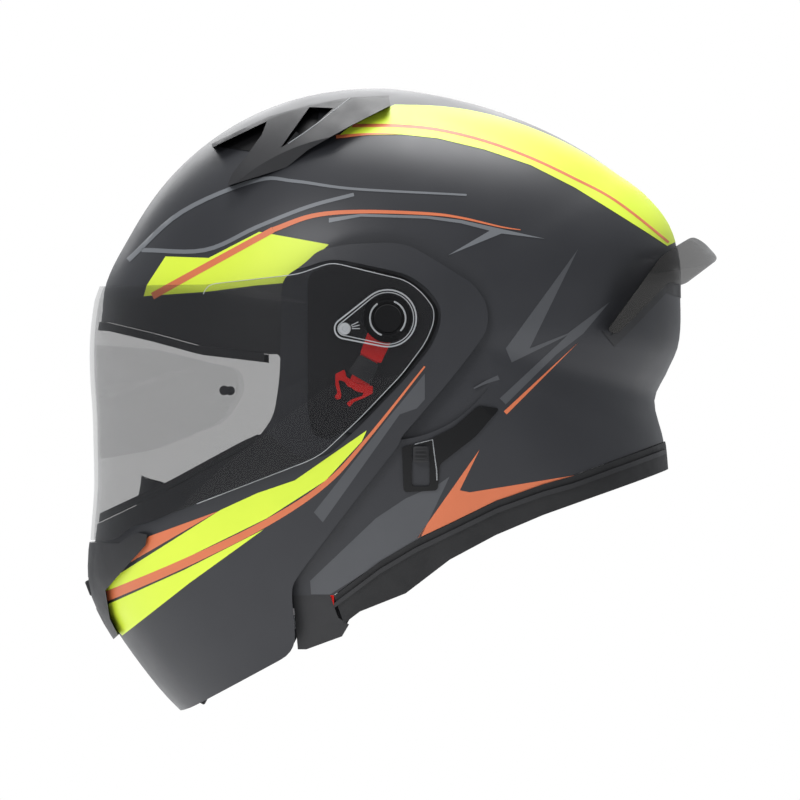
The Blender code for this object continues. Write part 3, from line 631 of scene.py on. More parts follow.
class Nodes:
    """Builds one node material step by step."""

    def __init__(self, name, colour, roughness, metallic=0.0):
        self.material = bpy.data.materials.new(name)
        self.material.use_nodes = True
        self.tree = self.material.node_tree
        self.shader = self.tree.nodes["Principled BSDF"]
        self.shader.inputs["Base Color"].default_value = (*colour, 1)
        self.shader.inputs["Roughness"].default_value = roughness
        self.shader.inputs["Metallic"].default_value = metallic
        self.colour = colour
        self.roughness = roughness
        self.place = self.add("ShaderNodeTexCoord").outputs["Object"]
        self.height = None

    def add(self, kind, **values):
        """A node with named input values."""
        node = self.tree.nodes.new(kind)
        for key, value in values.items():
            node.inputs[key.replace("_", " ")].default_value = value
        return node

    def link(self, source, target):
        """Connect two sockets."""
        self.tree.links.new(source, target)

    def noise(self, scale, detail=3.0):
        """Noise over the piece's own space, per metre."""
        node = self.add("ShaderNodeTexNoise", Scale=scale, Detail=detail)
        self.link(self.place, node.inputs["Vector"])
        return node.outputs["Fac"]

    def ramp(self, source, low, high, first, second):
        """Turn a value into a colour between two colours."""
        node = self.tree.nodes.new("ShaderNodeValToRGB")
        node.color_ramp.elements[0].position = low
        node.color_ramp.elements[1].position = high
        node.color_ramp.elements[0].color = (*first, 1)
        node.color_ramp.elements[1].color = (*second, 1)
        self.link(source, node.inputs["Fac"])
        return node.outputs["Color"]

    def mottle(self, scale, amount):
        """Vary the colour by a share of itself."""
        low = [c * (1 - amount) for c in self.colour]
        high = [min(1, c * (1 + amount)) for c in self.colour]
        self.link(self.ramp(self.noise(scale), 0.3, 0.7, low, high), self.shader.inputs["Base Color"])

    def worn(self, scale, amount):
        """Vary the roughness, as handling does."""
        node = self.add("ShaderNodeMapRange")
        node.inputs["From Min"].default_value = 0.3
        node.inputs["From Max"].default_value = 0.7
        node.inputs["To Min"].default_value = max(0.02, self.roughness - amount)
        node.inputs["To Max"].default_value = min(1, self.roughness + amount)
        self.link(self.noise(scale, 5), node.inputs["Value"])
        self.link(node.outputs["Result"], self.shader.inputs["Roughness"])

    def bump(self, source, strength, depth):
        """Add relief, in metres, on top of any relief already there."""
        node = self.add("ShaderNodeBump", Strength=strength, Distance=depth)
        self.link(source, node.inputs["Height"])
        if self.height:
            self.link(self.height, node.inputs["Normal"])
        self.height = node.outputs["Normal"]
        self.link(self.height, self.shader.inputs["Normal"])

    def waves(self, scale, axis):
        """Parallel threads across an axis."""
        node = self.tree.nodes.new("ShaderNodeTexWave")
        node.bands_direction = axis
        node.inputs["Scale"].default_value = scale
        node.inputs["Distortion"].default_value = 0.6
        node.inputs["Detail"].default_value = 1
        self.link(self.place, node.inputs["Vector"])
        return node.outputs["Fac"]

    def weave(self, first, second):
        """Combine two sets of threads."""
        node = self.tree.nodes.new("ShaderNodeMath")
        node.operation = "MULTIPLY"
        self.link(first, node.inputs[0])
        self.link(second, node.inputs[1])
        return node.outputs[0]

    def cells(self, scale):
        """Cell pattern, for foam beads."""
        node = self.tree.nodes.new("ShaderNodeTexVoronoi")
        node.inputs["Scale"].default_value = scale
        self.link(self.place, node.inputs["Vector"])
        return node.outputs["Distance"]


def lacquer(name, colour, roughness=0.42, metallic=0.0, flake=0.0):
    """Matte lacquer: fine texture, faint unevenness, soft clear coat."""
    made = Nodes(name, colour, roughness, metallic)
    made.mottle(18, 0.05 + flake)
    made.worn(30, 0.05)
    made.bump(made.noise(2600, 2), 0.08, 0.0002)
    made.shader.inputs["Coat Weight"].default_value = 0.12
    made.shader.inputs["Coat Roughness"].default_value = 0.35
    return made.material


def gloss(name, colour, roughness=0.08):
    """Polished moulded plastic with faint smears."""
    made = Nodes(name, colour, roughness)
    made.mottle(60, 0.08)
    made.worn(25, 0.04)
    made.bump(made.noise(120, 2), 0.03, 0.0002)
    made.shader.inputs["Specular IOR Level"].default_value = 0.28
    return made.material


def grained(name, colour, roughness=0.5):
    """Moulded plastic or rubber with a fine spark-eroded grain."""
    made = Nodes(name, colour, roughness)
    made.mottle(40, 0.12)
    made.worn(70, 0.08)
    made.bump(made.noise(1500, 4), 0.25, 0.0002)
    return made.material


def clear(name, colour, alpha, roughness=0.03):
    """Clear or smoked polycarbonate, seen through."""
    made = Nodes(name, colour, roughness)
    made.worn(20, 0.02)
    made.bump(made.noise(14, 1), 0.02, 0.0006)
    made.shader.inputs["Alpha"].default_value = alpha
    made.material.surface_render_method = "BLENDED"
    return made.material


def steel(name, colour):
    """Plated steel with brushed lines."""
    made = Nodes(name, colour, 0.3, 1.0)
    made.worn(160, 0.1)
    made.bump(made.waves(900, "Y"), 0.06, 0.0001)
    return made.material


def knitted(name, colour):
    """Brushed knit of the lining: fine wales and courses and a soft nap."""
    made = Nodes(name, colour, 0.92)
    made.mottle(90, 0.25)
    made.bump(made.weave(made.waves(260, "X"), made.waves(260, "Z")), 0.5, 0.0004)
    made.bump(made.noise(1800, 3), 0.3, 0.0003)
    made.shader.inputs["Sheen Weight"].default_value = 0.4
    made.shader.inputs["Sheen Roughness"].default_value = 0.5
    return made.material


def beaded(name, colour):
    """Expanded foam, pressed from beads."""
    made = Nodes(name, colour, 0.85)
    made.mottle(400, 0.3)
    made.bump(made.cells(330), 0.5, 0.0006)
    return made.material


def woven(name, colour):
    """Twill webbing: diagonal ribs crossed by fine threads."""
    made = Nodes(name, colour, 0.8)
    made.mottle(300, 0.3)
    made.bump(made.waves(330, "DIAGONAL"), 0.8, 0.0004)
    made.bump(made.waves(1100, "Y"), 0.4, 0.0002)
    made.shader.inputs["Sheen Weight"].default_value = 0.2
    return made.material


PAINT = {
    "shell": lacquer("shell_lacquer", (0.030, 0.031, 0.036), 0.43, 0.2, 0.03),
    "yellow": lacquer("yellow_lacquer", (0.79, 1.0, 0.055), 0.45),
    "orange": lacquer("orange_lacquer", (0.75, 0.19, 0.075), 0.45),
    "grey": lacquer("grey_lacquer", (0.19, 0.20, 0.215), 0.45, 0.2),
    "dark_grey": lacquer("dark_grey_lacquer", (0.085, 0.088, 0.096), 0.45, 0.2),
    "black": lacquer("black_lacquer", (0.010, 0.010, 0.011), 0.38),
    "gloss": gloss("black_gloss_plastic", (0.006, 0.006, 0.0065)),
    "matte": grained("black_matte_plastic", (0.018, 0.018, 0.02), 0.48),
    "deep": gloss("dull_black_plastic_and_painted_shadow", (0.003, 0.003, 0.0035), 0.6),
    "rubber": grained("black_rubber", (0.010, 0.010, 0.011), 0.62),
    "visor": clear("smoked_visor", (0.03, 0.03, 0.033), 0.24),
    # Pale see-through grey: the visor's rim and its ribbed pivot arm, and the painted highlight lines on the
    # pivot rings, the panel ridges and the vent wings.
    "rim": clear("clear_rim_and_highlight", (0.62, 0.64, 0.66), 0.55, 0.1),
    "insert": clear("anti_fog_film", (0.35, 0.36, 0.37), 0.05, 0.12),
    "smoke": clear("smoke_spoiler", (0.030, 0.028, 0.026), 0.62, 0.1),
    "dark_visor": clear("sun_visor_tint", (0.012, 0.011, 0.01), 0.88, 0.05),
    "red": gloss("red_plastic", (1.0, 0.010, 0.005), 0.4),
    "steel": steel("plated_steel", (0.55, 0.56, 0.58)),
    "lining": knitted("knitted_lining", (0.018, 0.019, 0.022)),
    "foam": beaded("bead_foam", (0.012, 0.012, 0.014)),
    "webbing": woven("webbing_twill", (0.008, 0.008, 0.010)),
}


def group_skin(name, outer, inner, outlines, material, body, slot, replaces=(), low=-FAR, high=FAR):
    """A dressed slice between two forms."""
    thing = skin(name, outer, inner, outlines, low, high)
    return dress(thing, material, body, replaces=replaces)


def decal(name, table, width, outlines, paint_name, body, rise=DECAL_RISE):
    """Graphics lying on a lacquered form, in the paint of their colour."""
    slot = "decal_" + paint_name.replace("dark_", "")
    return group_skin(
        name, (table, -rise, width + rise), (table, DECAL_DEPTH, width - DECAL_DEPTH), outlines,
        PAINT[paint_name], body, slot
    )


def build_shell():
    """Outer shell, with flat seats under the pods, and the trim round its lower edge."""
    shell = layer("shell_skin", (SHELL_RADIUS, 0, SHELL_WIDTH),
                  (SHELL_RADIUS, SHELL_THICKNESS, SHELL_INNER_WIDTH))
    cut(shell, [FACE_OPENING])
    cut(shell, [SHELL_BOTTOM + ((190, -300), (-60, -300))])
    boolean(shell, "DIFFERENCE", [disc(POD_RADIUS, *both_sides(s, PLATEAU_WIDTH, 140)) for s in (1, -1)])
    smooth(shell)
    dress(shell, PAINT["shell"], "helmet", replaces=("outer_shell",))
    trim = tuple((back, up - 0.3) for back, up in SHELL_BOTTOM[1:]) + TRIM_BOTTOM
    group_skin("trim_band", (SHELL_RADIUS, -1, SHELL_WIDTH + 0.5), (SHELL_RADIUS, 9, 108), [trim],
               PAINT["rubber"], "helmet", "rubber", ("neck_trim",))
    # A rolled bead runs along the trim, just under the shell's edge.
    bead = tuple((back, up - 4.0) for back, up in SHELL_BOTTOM[1:-1])
    under = tuple((back, up - 6.5) for back, up in reversed(SHELL_BOTTOM[1:-1]))
    group_skin("trim_bead", (SHELL_RADIUS, -2.2, SHELL_WIDTH + 1.7), (SHELL_RADIUS, 0, SHELL_WIDTH - 0.5),
               [bead + under], PAINT["matte"], "helmet", "black_matte")
    top = tuple((back, up - 0.3) for back, up in BROW_EDGE)
    bottom = tuple((back, up - 4.5) for back, up in reversed(BROW_EDGE))
    group_skin("brow_seal", (SHELL_RADIUS, -1, SHELL_WIDTH + 0.8), (SHELL_RADIUS, 7, SHELL_INNER_WIDTH - 1),
               [top + bottom], PAINT["rubber"], "helmet", "rubber", ("brow_gasket",))
    for side in (1, -1):
        name = side_name(side)
        group_skin(f"corner_housing_{name}", (SHELL_RADIUS, 0, SHELL_WIDTH), (SHELL_RADIUS, 4, 116),
                   [CORNER_HOUSING], PAINT["matte"], "helmet", "black_matte", (f"latch_housing_{name}",),
                   *both_sides(side, 40, FAR))


def build_shell_graphics():
    """Painted graphics of the shell."""
    crown_lines = [ribbon(CROWN_LINE, 1.7, 1.3), ribbon(CROWN_EDGE_LINE, 1.8, 0.3)]
    band = skin("crown_band", (SHELL_RADIUS, -DECAL_RISE, SHELL_WIDTH + DECAL_RISE),
                (SHELL_RADIUS, DECAL_DEPTH, SHELL_WIDTH - DECAL_DEPTH), [CROWN_BAND])
    boolean(band, "DIFFERENCE", [plan_solid(CROWN_GAP, 30, 160)])
    dress(smooth(band), PAINT["yellow"], "helmet")
    graphics = (
        ("crown_stripe", crown_lines, "orange", LINE_RISE),
        ("forehead_panel", [FOREHEAD], "yellow", DECAL_RISE),
        ("forehead_stripe", [ribbon(FOREHEAD_STRIPE, 3.6, 3.0)], "orange", LINE_RISE),
        ("flame_line", [ribbon(FLAME_LINE, 2.6, 0.4)], "orange", LINE_RISE),
        ("outline_graphic", [ribbon(GREY_OUTER, 2.6, 1.0)], "grey", DECAL_RISE),
        ("inner_graphic", [ribbon(GREY_INNER, 2.2, 1.8)], "grey", DECAL_RISE),
        ("flame_graphic", [GREY_FLAME], "grey", DECAL_RISE),
        ("lightning_graphic", [LIGHTNING], "dark_grey", DECAL_RISE),
        ("side_stroke", [ribbon(GREY_STROKE, 0.6, 2.4)], "dark_grey", DECAL_RISE),
        ("side_streak", [LIGHT_STREAK, CHEVRON], "orange", DECAL_RISE),
        ("lower_panel", [LOWER_GREY], "dark_grey", DECAL_RISE),
    )
    for name, outlines, paint_name, rise in graphics:
        decal(name, SHELL_RADIUS, SHELL_WIDTH, outlines, paint_name, "helmet", rise)
    brow = skin("brow_band", (SHELL_RADIUS, -0.08, SHELL_WIDTH + 0.08),
                (SHELL_RADIUS, DECAL_DEPTH, SHELL_WIDTH - DECAL_DEPTH), [BROW_BLACK])
    cut(brow, [FACE_OPENING])
    dress(smooth(brow), PAINT["black"], "helmet")


def build_chin_curtain():
    """Cloth curtain stretched across the chin, arched up a little, with a rolled rear hem."""
    rows, columns = 20, 48
    rear, front = Vector(CURTAIN_REAR), Vector(CURTAIN_FRONT)
    slope = (front - rear).normalized()
    up = Vector((slope.y, -slope.x))
    if up.y < 0:
        up.negate()
    lines = []
    for row in range(rows + 1):
        share = row / rows
        middle = rear.lerp(front, share)
        half = form_side(CHIN_RADIUS, CURTAIN_INSET, CURTAIN_WIDTH, *middle)
        arch = CURTAIN_ARCH * math.sin(math.pi * (0.5 + share * 0.5))
        line = []
        for column in range(columns + 1):
            u = 2 * column / columns - 1
            point = middle + up * arch * (1 - u * u)
            line.append((u * half, *point))
        lines.append(line)
    verts = [Vector(point) * MM for line in lines for point in line]
    step = columns + 1
    corners = [row * step + column for row in range(rows) for column in range(columns)]
    faces = [(corner, corner + 1, corner + step + 1, corner + step) for corner in corners]
    mesh = bpy.data.meshes.new("curtain")
    mesh.from_pydata(verts, [], faces)
    cloth = add_object("curtain_cloth", mesh)
    thick = cloth.modifiers.new("thick", "SOLIDIFY")
    thick.thickness = 1.2 * MM
    thick.offset = 0
    settle(cloth)
    cloth.data.shade_smooth()
    dress(cloth, PAINT["lining"], "chin_bar", replaces=("chin_curtain",))
    hem = tube("curtain_hem", lines[0], 1.1)
    dress(hem, PAINT["webbing"], "chin_bar")


def build_chin_bar():
    """Chin bar with its pods, foam, seal, vent, deflector and curtain."""
    outline = rounded(CHIN_OUTLINE, 9)
    chin = keep(layer("chin_shell", (CHIN_RADIUS, 0, CHIN_WIDTH)), [outline])
    hollow = layer("hollow", (CHIN_RADIUS, 3.2, CHIN_INNER_WIDTH))
    pods = [disc(POD_RADIUS - 0.8, *both_sides(side, POD_INNER_WIDTH, 140)) for side in (1, -1)]
    boolean(hollow, "DIFFERENCE", pods)
    boolean(chin, "DIFFERENCE", [hollow.data.copy()])
    bpy.data.objects.remove(hollow, do_unlink=True)
    pocket = rounded(POD_POCKET, 6)
    boolean(chin, "DIFFERENCE", [outline_solid(pocket, *both_sides(s, 118.2, 140)) for s in (1, -1)])
    boolean(chin, "DIFFERENCE", [disc(6.5, *both_sides(s, 100, 140)) for s in (1, -1)])
    dress(smooth(chin), PAINT["shell"], "chin_bar", replaces=("chin_bar",))
    paint = (CHIN_RADIUS, CHIN_WIDTH)
    band = decal("chin_band", *paint, [CHIN_YELLOW_UPPER, CHIN_YELLOW_LOWER], "yellow", "chin_bar")
    stripe = decal("chin_stripe", *paint, [ribbon(CHIN_STRIPE, 5.2, 0.8)], "orange", "chin_bar", LINE_RISE)
    # No paint shows in the vent's mouth.
    for graphic in (band, stripe):
        cut(graphic, [CHIN_VENT_MOUTH], -18, 18)
    decal("chin_triangle", *paint, [CHIN_TRIANGLE], "orange", "chin_bar")
    decal("chin_bolt", *paint, [CHIN_GREY], "dark_grey", "chin_bar")
    front = layer("pod_front", (CHIN_RADIUS, -0.1, CHIN_WIDTH + 0.1), (CHIN_RADIUS, 0.5, CHIN_WIDTH - 0.5))
    keep(front, [outline])
    keep(front, [rounded(VISOR_OUTLINE, 5)])
    cut(front, [pocket])
    dress(smooth(front), PAINT["black"], "chin_bar")
    foam = keep(layer("chin_foam", (CHIN_RADIUS, 3.6, CHIN_INNER_WIDTH - 0.4), (CHIN_RADIUS, 24, 114)),
                [rounded(CHIN_EPS_OUTLINE, 5)])
    boolean(foam, "DIFFERENCE", [disc(POD_RADIUS + 1, -FAR, FAR)])
    dress(smooth(foam), PAINT["foam"], "chin_bar", replaces=("chin_eps",))
    group_skin("eyeport_seal", (CHIN_RADIUS, 0.8, CHIN_WIDTH - 0.8), (CHIN_RADIUS, 8, 116),
               [rounded(LOWER_GASKET, 3)], PAINT["rubber"], "chin_bar", "rubber", ("chin_gasket",))
    vent = keep(layer("chin_vent", (CHIN_RADIUS, -4, CHIN_WIDTH + 1), (CHIN_RADIUS, -0.3, CHIN_WIDTH + 0.3)),
                [CHIN_VENT_OUTLINE])
    cut(vent, [CHIN_VENT_MOUTH], -14, 14)
    dress(smooth(vent), PAINT["matte"], "chin_bar", replaces=("chin_vent_cover",))
    group_skin("deflector", (CHIN_RADIUS, 25.5, 90), (CHIN_RADIUS, 28.5, 84), [rounded(BREATH_DEFLECTOR, 5)],
               PAINT["rubber"], "chin_bar", "rubber", ("breath_deflector",))
    build_chin_curtain()


def build_visor():
    """Clear visor, a pale line along its rim that is partly its edge and partly painted highlight, its ribbed
    pivot arm and the film inside.
    """
    lens = layer("visor_lens", (VISOR_RADIUS, 0, VISOR_WIDTH),
                 (VISOR_RADIUS, VISOR_THICKNESS, VISOR_WIDTH - VISOR_THICKNESS))
    keep(lens, [rounded(VISOR_OUTLINE, 5)])
    boolean(lens, "DIFFERENCE", [disc(CAP_RADIUS + 0.6, -FAR, FAR)])
    dress(smooth(lens), PAINT["visor"], "visor", replaces=("visor",))
    edge = rounded(VISOR_OUTLINE[1:-2], 5)
    for side in (1, -1):
        name = side_name(side)
        # The visor's rim as a pale rod: its real edge, drawn with a painted highlight.
        line = [
            (side * (form_side(VISOR_RADIUS, 0, VISOR_WIDTH, back, up) + 0.1), back, up)
            for back, up in edge if math.hypot(back, up) < 135
        ]
        dress(tube(f"visor_edge_highlight_{name}", line, 0.22), PAINT["rim"], "visor")
        loops = []
        # Two nested teardrop lines run round the cap and the boss.
        for radius, tip, width in ((14.6, 5.4, 0.75), (13.2, 3.6, 0.5)):
            loop = add_object("loop", outline_solid(hull_of_discs((0, 0), radius, ARM_BOSS, tip),
                                                    *both_sides(side, *ARM_SPAN)))
            inside = hull_of_discs((0, 0), radius - width, ARM_BOSS, tip - width)
            loops.append(cut(loop, [inside], *both_sides(side, 100, 140)))
        ribs = []
        # Three ribs fan out from the boss towards the cap's rim.
        hub = Vector(ARM_BOSS)
        toward = math.atan2(-ARM_BOSS[1], -ARM_BOSS[0])
        for spread in (-13, 0, 13):
            heading = toward + math.radians(spread)
            way = Vector((math.cos(heading), math.sin(heading)))
            ribs.append(plate("rib", ribbon((hub + way * 3.6, hub + way * 5.5, hub + way * 7.6), 0.5, 0.5),
                              *both_sides(side, *ARM_SPAN), 0.1))
        boss = turned("boss", ((0, 127.5), (1.2, 127.5), (1.3, 127.9), (2.6, 127.9), (3, 127.5), (3, 126.4),
                               (0, 126.4)), side, ARM_BOSS)
        made = join(f"visor_arm_{name}", [*loops, *ribs, boss])
        dress(made, PAINT["rim"], "visor")
    film = layer("film_insert", *((VISOR_RADIUS, depth, VISOR_WIDTH - depth) for depth in FILM_DEPTHS))
    keep(film, [rounded(INSERT_OUTLINE, 6)])
    boolean(film, "DIFFERENCE", [disc(3.2, *both_sides(s, 20, FAR), centre=(-82, -36)) for s in (1, -1)])
    dress(smooth(film), PAINT["insert"], "visor", replaces=("anti_fog_insert",))


def build_mechanism():
    """Base plates, lock levers with their claws, and ringed pivot caps in the pods."""
    block = ((-10, -7), (1.5, -12), (-3.5, -22.5), (-13.8, -17.4))
    claw = (
        (-26.2, -27.8), (-21.7, -25.6), (-20.6, -29.3), (-15, -32.7), (-11.2, -33.4), (-7.5, -33.8),
        (-7.5, -37.5), (-12, -39.8), (-16.8, -41.7), (-19.1, -44.3), (-20.6, -42.5), (-18.3, -40.6),
        (-12.7, -38.7), (-12, -37.2), (-14.2, -36.9), (-16.4, -36.1), (-18.2, -34.6), (-20.2, -33.9),
        (-21.4, -31.8), (-23.6, -30.9), (-24.7, -30.9), (-24, -34.6), (-23.2, -38), (-23.6, -40.2),
        (-25.5, -40.6), (-26.6, -39.1), (-25.1, -37.2), (-26.2, -33.1),
    )
    spine = ((-12, -14), (-4, -19), (-9.5, -34.5), (-19, -31))
    grip = ((-13.8, -18), (-4.5, -23), (-8.6, -33.2), (-20, -26.8))
    cap = (
        (0, 127.7), (6.6, 127.7), (7, 128), (7.4, 127.5), (8, 127.5), (8.3, 128.7), (9.5, 128.7),
        (9.8, 127.6), (11.1, 127.6), (11.3, 128.3), (12, 128.3), (12.2, 127.3), (8.5, 127.3), (8.5, 120.5),
        (0, 120.5),
    )
    for side in (1, -1):
        name = side_name(side)
        base = plate(f"mechanism_plate_{name}", rounded(BASE_PLATE, 5), *both_sides(side, *BASE_SPAN), 0.2)
        boolean(base, "DIFFERENCE", [disc(10.5, *both_sides(side, 100, 140))])
        dress(smooth(base), PAINT["deep"], "chin_bar", replaces=(f"visor_base_plate_{name}",))
        red = [
            plate("block", rounded(block, 0.8, 3), *both_sides(side, *LEVER_SPAN), 0.3),
            plate("claw", rounded(claw, 0.5, 2), *both_sides(side, *LEVER_SPAN), 0.15),
            plate("spine", rounded(spine, 0.8, 3), *both_sides(side, *SPINE_SPAN), 0.2),
        ]
        lever = join(f"release_lever_{name}", red)
        body = f"visor_lock_lever_{name}"
        dress(lever, PAINT["red"], body, replaces=(body,))
        pad = plate(f"lever_pad_{name}", rounded(grip, 1.2, 3), *both_sides(side, *GRIP_SPAN), 0.25)
        dress(pad, PAINT["matte"], body)
        dress(turned(f"pivot_ring_{name}", cap, side), PAINT["gloss"], "chin_bar",
              replaces=(f"visor_pivot_cap_{name}",))
        arcs = []
        for first, last in ((125, 250), (-45, 70)):
            turns = [math.radians(first + (last - first) * step / 24) for step in range(25)]
            path = [
                (side * CREST_X, CREST_RADIUS * math.cos(turn), CREST_RADIUS * math.sin(turn))
                for turn in turns
            ]
            arcs.append(tube("arc", path, 0.6))
        dress(join(f"ring_highlight_{name}", arcs), PAINT["rim"], "chin_bar")


def build_side_panels():
    """Glossy recess panels behind the pods, each with a fine ridge drawn as a pale line of painted highlight,
    and the ribbed sun visor slider in its groove.
    """
    for side in (1, -1):
        name = side_name(side)
        panel = keep(layer(f"side_panel_{name}", (SHELL_RADIUS, -1.3, SHELL_WIDTH + 1.3),
                           (SHELL_RADIUS, -0.3, SHELL_WIDTH + 0.3)),
                     [rounded(RECESS_PANEL, 2)], *both_sides(side, 40, FAR))
        if side > 0:
            cut(panel, [rounded(SUN_SLIDER_WINDOW, 1.5)], 40, FAR)
        dress(smooth(panel), PAINT["gloss"], "helmet", replaces=(f"recess_panel_{name}",))
        # A pale rod along the panel's ridge: a painted highlight on a real ridge.
        ridge = [
            (side * (form_side(SHELL_RADIUS, -1.3, SHELL_WIDTH + 1.3, back, up) + 0.1), back, up)
            for back, up in PANEL_RIDGE_HIGHLIGHT
        ]
        dress(tube(f"panel_ridge_highlight_{name}", ridge, 0.3), PAINT["rim"], "helmet")
    low, high = (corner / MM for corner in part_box("sun_visor_slider"))
    frame_outline = ((low.y, low.z), (high.y, low.z), (high.y, high.z), (low.y, high.z))
    parts = [plate("body", rounded(frame_outline, 1.5), low.x, high.x - 0.8, 0.3)]
    for step in range(3):
        up = low.z + (high.z - low.z) * (step + 1) / 4
        first, last = low.y + 0.8, high.y - 0.8
        rib = ((first, up - 0.5), (last, up - 0.5), (last, up + 0.5), (first, up + 0.5))
        parts.append(plate("rib", rib, high.x - 1, high.x, 0.2))
    slider = join("slider_button", parts)
    dress(slider, PAINT["matte"], "sun_visor_slider", replaces=("sun_visor_slider",))


def build_sun_visor():
    """Dark inner visor."""
    sun = layer("sun_lens", (SUN_VISOR_RADIUS, 0, SUN_VISOR_WIDTH),
                (SUN_VISOR_RADIUS, SUN_VISOR_THICKNESS, SUN_VISOR_WIDTH - SUN_VISOR_THICKNESS))
    keep(sun, [rounded(SUN_VISOR_OUTLINE, 5)])
    boolean(sun, "DIFFERENCE", [disc(4.2, -FAR, FAR)])
    dress(smooth(sun), PAINT["dark_visor"], "sun_visor", replaces=("sun_visor",))


def build_top_vents():
    """Crown vents: a base, a raised cowl with its mouth and slot, painted shadow inside, a painted highlight
    and the shutter.
    """
    slot_start, slot_end = (Vector(end) for end in VENT_SLOT)
    run = slot_end - slot_start
    across = Vector((-run.y, run.x)).normalized()
    for side in (1, -1):
        name = side_name(side)
        span = both_sides(side, 22, 90)
        low, foot = ((SHELL_RADIUS, -rise, SHELL_WIDTH + rise) for rise in (0.3, 1.5))
        top = (SHELL_RADIUS, -5.5, SHELL_WIDTH + 5)
        base = keep(layer("base", foot, low), [TOP_VENT_OUTLINE], *span)
        cowl = keep(layer("cowl", top, foot), [TOP_VENT_OUTLINE], *span)
        for piece in (base, cowl):
            cut(piece, [VENT_FRONT, VENT_GAP], *both_sides(side, 10, 100))
        # Black sheets on the shell: painted shadow inside the vent's mouth and in the dark half of the gap.
        group_skin(f"vent_shadow_{name}", (SHELL_RADIUS, -0.3, SHELL_WIDTH + 0.3),
                   (SHELL_RADIUS, 0.5, SHELL_WIDTH - 0.5), [VENT_SHADOW, VENT_GAP_SHADOW], PAINT["deep"],
                   "helmet", "black_matte", (), *span)
        # A pale rod along the wing's front edge: a painted highlight.
        edge = [
            (side * (form_side(*top, back, up) + 0.05), back, up) for back, up in VENT_WING_HIGHLIGHT
        ]
        dress(tube(f"wing_edge_highlight_{name}", edge, 0.28), PAINT["rim"], "helmet")
        dress(join(f"vent_cowl_{name}", [base, cowl]), PAINT["matte"], "helmet",
              replaces=(f"top_vent_cover_{name}",))
        start = slot_start.lerp(slot_end, 0.06)
        end = slot_start.lerp(slot_end, 0.44)
        half = VENT_SLOT_HALF - 0.7
        shutter = (tuple(start + across * half), tuple(end + across * half),
                   tuple(end - across * half), tuple(start - across * half))
        body = f"top_vent_slider_{name}"
        group_skin(f"vent_shutter_{name}", (SHELL_RADIUS, -4.4, SHELL_WIDTH + 4.4),
                   (SHELL_RADIUS, -SHUTTER_LIFT, SHELL_WIDTH + SHUTTER_LIFT), [shutter], PAINT["gloss"], body,
                   "black_gloss", (body,), *both_sides(side, 10, 100))


def build_spoiler():
    """Smoked spoiler on its black base strip."""
    group_skin("spoiler_blade", (SPOILER_RADIUS, 0, SHELL_WIDTH + 5), (SHELL_RADIUS, -0.4, SHELL_WIDTH + 0.4),
               [rounded(SPOILER_OUTLINE, 3)], PAINT["smoke"], "helmet", "smoke_plastic", ("rear_spoiler",))
    group_skin("spoiler_strip", (SHELL_RADIUS, -0.35, SHELL_WIDTH + 0.35),
               (SHELL_RADIUS, 0.5, SHELL_WIDTH - 0.5), [SPOILER_BASE], PAINT["matte"], "helmet",
               "black_matte")


def puff(thing, reach):
    """Fill a pad: remesh it, swell it as cloth under pressure, and limit how far it moves."""
    remesh = thing.modifiers.new("remesh", "REMESH")
    remesh.mode = "VOXEL"
    remesh.voxel_size = PAD_VOXEL
    settle(thing)
    rest = [vert.co.copy() for vert in thing.data.vertices]
    cloth = thing.modifiers.new("cloth", "CLOTH")
    cloth.settings.use_pressure = True
    cloth.settings.uniform_pressure_force = 4
    cloth.settings.effector_weights.gravity = 0
    for step in range(1, 21):
        bpy.context.scene.frame_set(step)
    settle(thing)
    bpy.context.scene.frame_set(1)
    for vert, start in zip(thing.data.vertices, rest):
        move = vert.co - start
        if move.length > reach * MM:
            vert.co = start + move.normalized() * reach * MM
    return thing


def channel(thing, distance, depth=1.5, width=5.0):
    """Press sewn channels into a pad, where distance(point) in millimetres is small."""
    normals = [vert.normal.copy() for vert in thing.data.vertices]
    for vert, normal in zip(thing.data.vertices, normals):
        away = distance(vert.co / MM) / width
        if abs(away) < 1:
            vert.co -= normal * depth * MM * (1 - away * away) ** 2
    return thing


def finish_pad(thing, *nodes):
    """Smooth and dress a pad, hiding the CAD nodes it stands for."""
    grow = thing.modifiers.new("fine", "SUBSURF")
    grow.levels = 1
    grow.render_levels = 1
    settle(thing)
    thing.data.shade_smooth()
    dress(thing, PAINT["lining"], "helmet", replaces=nodes)
    return thing


def build_liners():
    """Impact foam and the padded lining."""
    eps = layer("impact_foam", (EPS_RADIUS, 0, EPS_WIDTH), (EPS_INNER_RADIUS, 0, EPS_INNER_WIDTH))
    cut(eps, [FACE_OPENING])
    bottom = tuple((back, up + 1) for back, up in SHELL_BOTTOM)
    cut(eps, [bottom + ((190, -300), (-60, -300))])
    dress(smooth(eps), PAINT["foam"], "helmet", replaces=("eps_liner",))

    def pad(name, thickness, width, outline, low=-FAR, high=FAR, swell=1.6):
        """One slice of the lining, kept a little inside its CAD solid and then filled."""
        made = layer(name, (EPS_INNER_RADIUS, 2.4, EPS_INNER_WIDTH - 2.4),
                     (EPS_INNER_RADIUS, thickness - 1.6, width + 1.6))
        keep(made, [outline], low, high)
        return puff(made, swell)

    crown = pad("crown_pad", 10, 79, LINER_OUTLINE)
    channel(crown, lambda p: abs(p.x) - 30)
    channel(crown, lambda p: p.y - 10, depth=1.0)
    finish_pad(crown, "comfort_liner")
    for side in (1, -1):
        name = side_name(side)
        cheek = pad(f"cheek_cushion_{name}", 14, 66, CHEEK_OUTLINE, *both_sides(side, 15, FAR))
        channel(cheek, lambda p: p.z + 75, depth=1.2)
        finish_pad(cheek, f"cheek_pad_{name}")
    roll = pad("neck_cushion", 12, 76, NECK_ROLL_OUTLINE)
    channel(roll, lambda p: abs(p.x) - 35, depth=1.2)
    finish_pad(roll, "neck_roll")


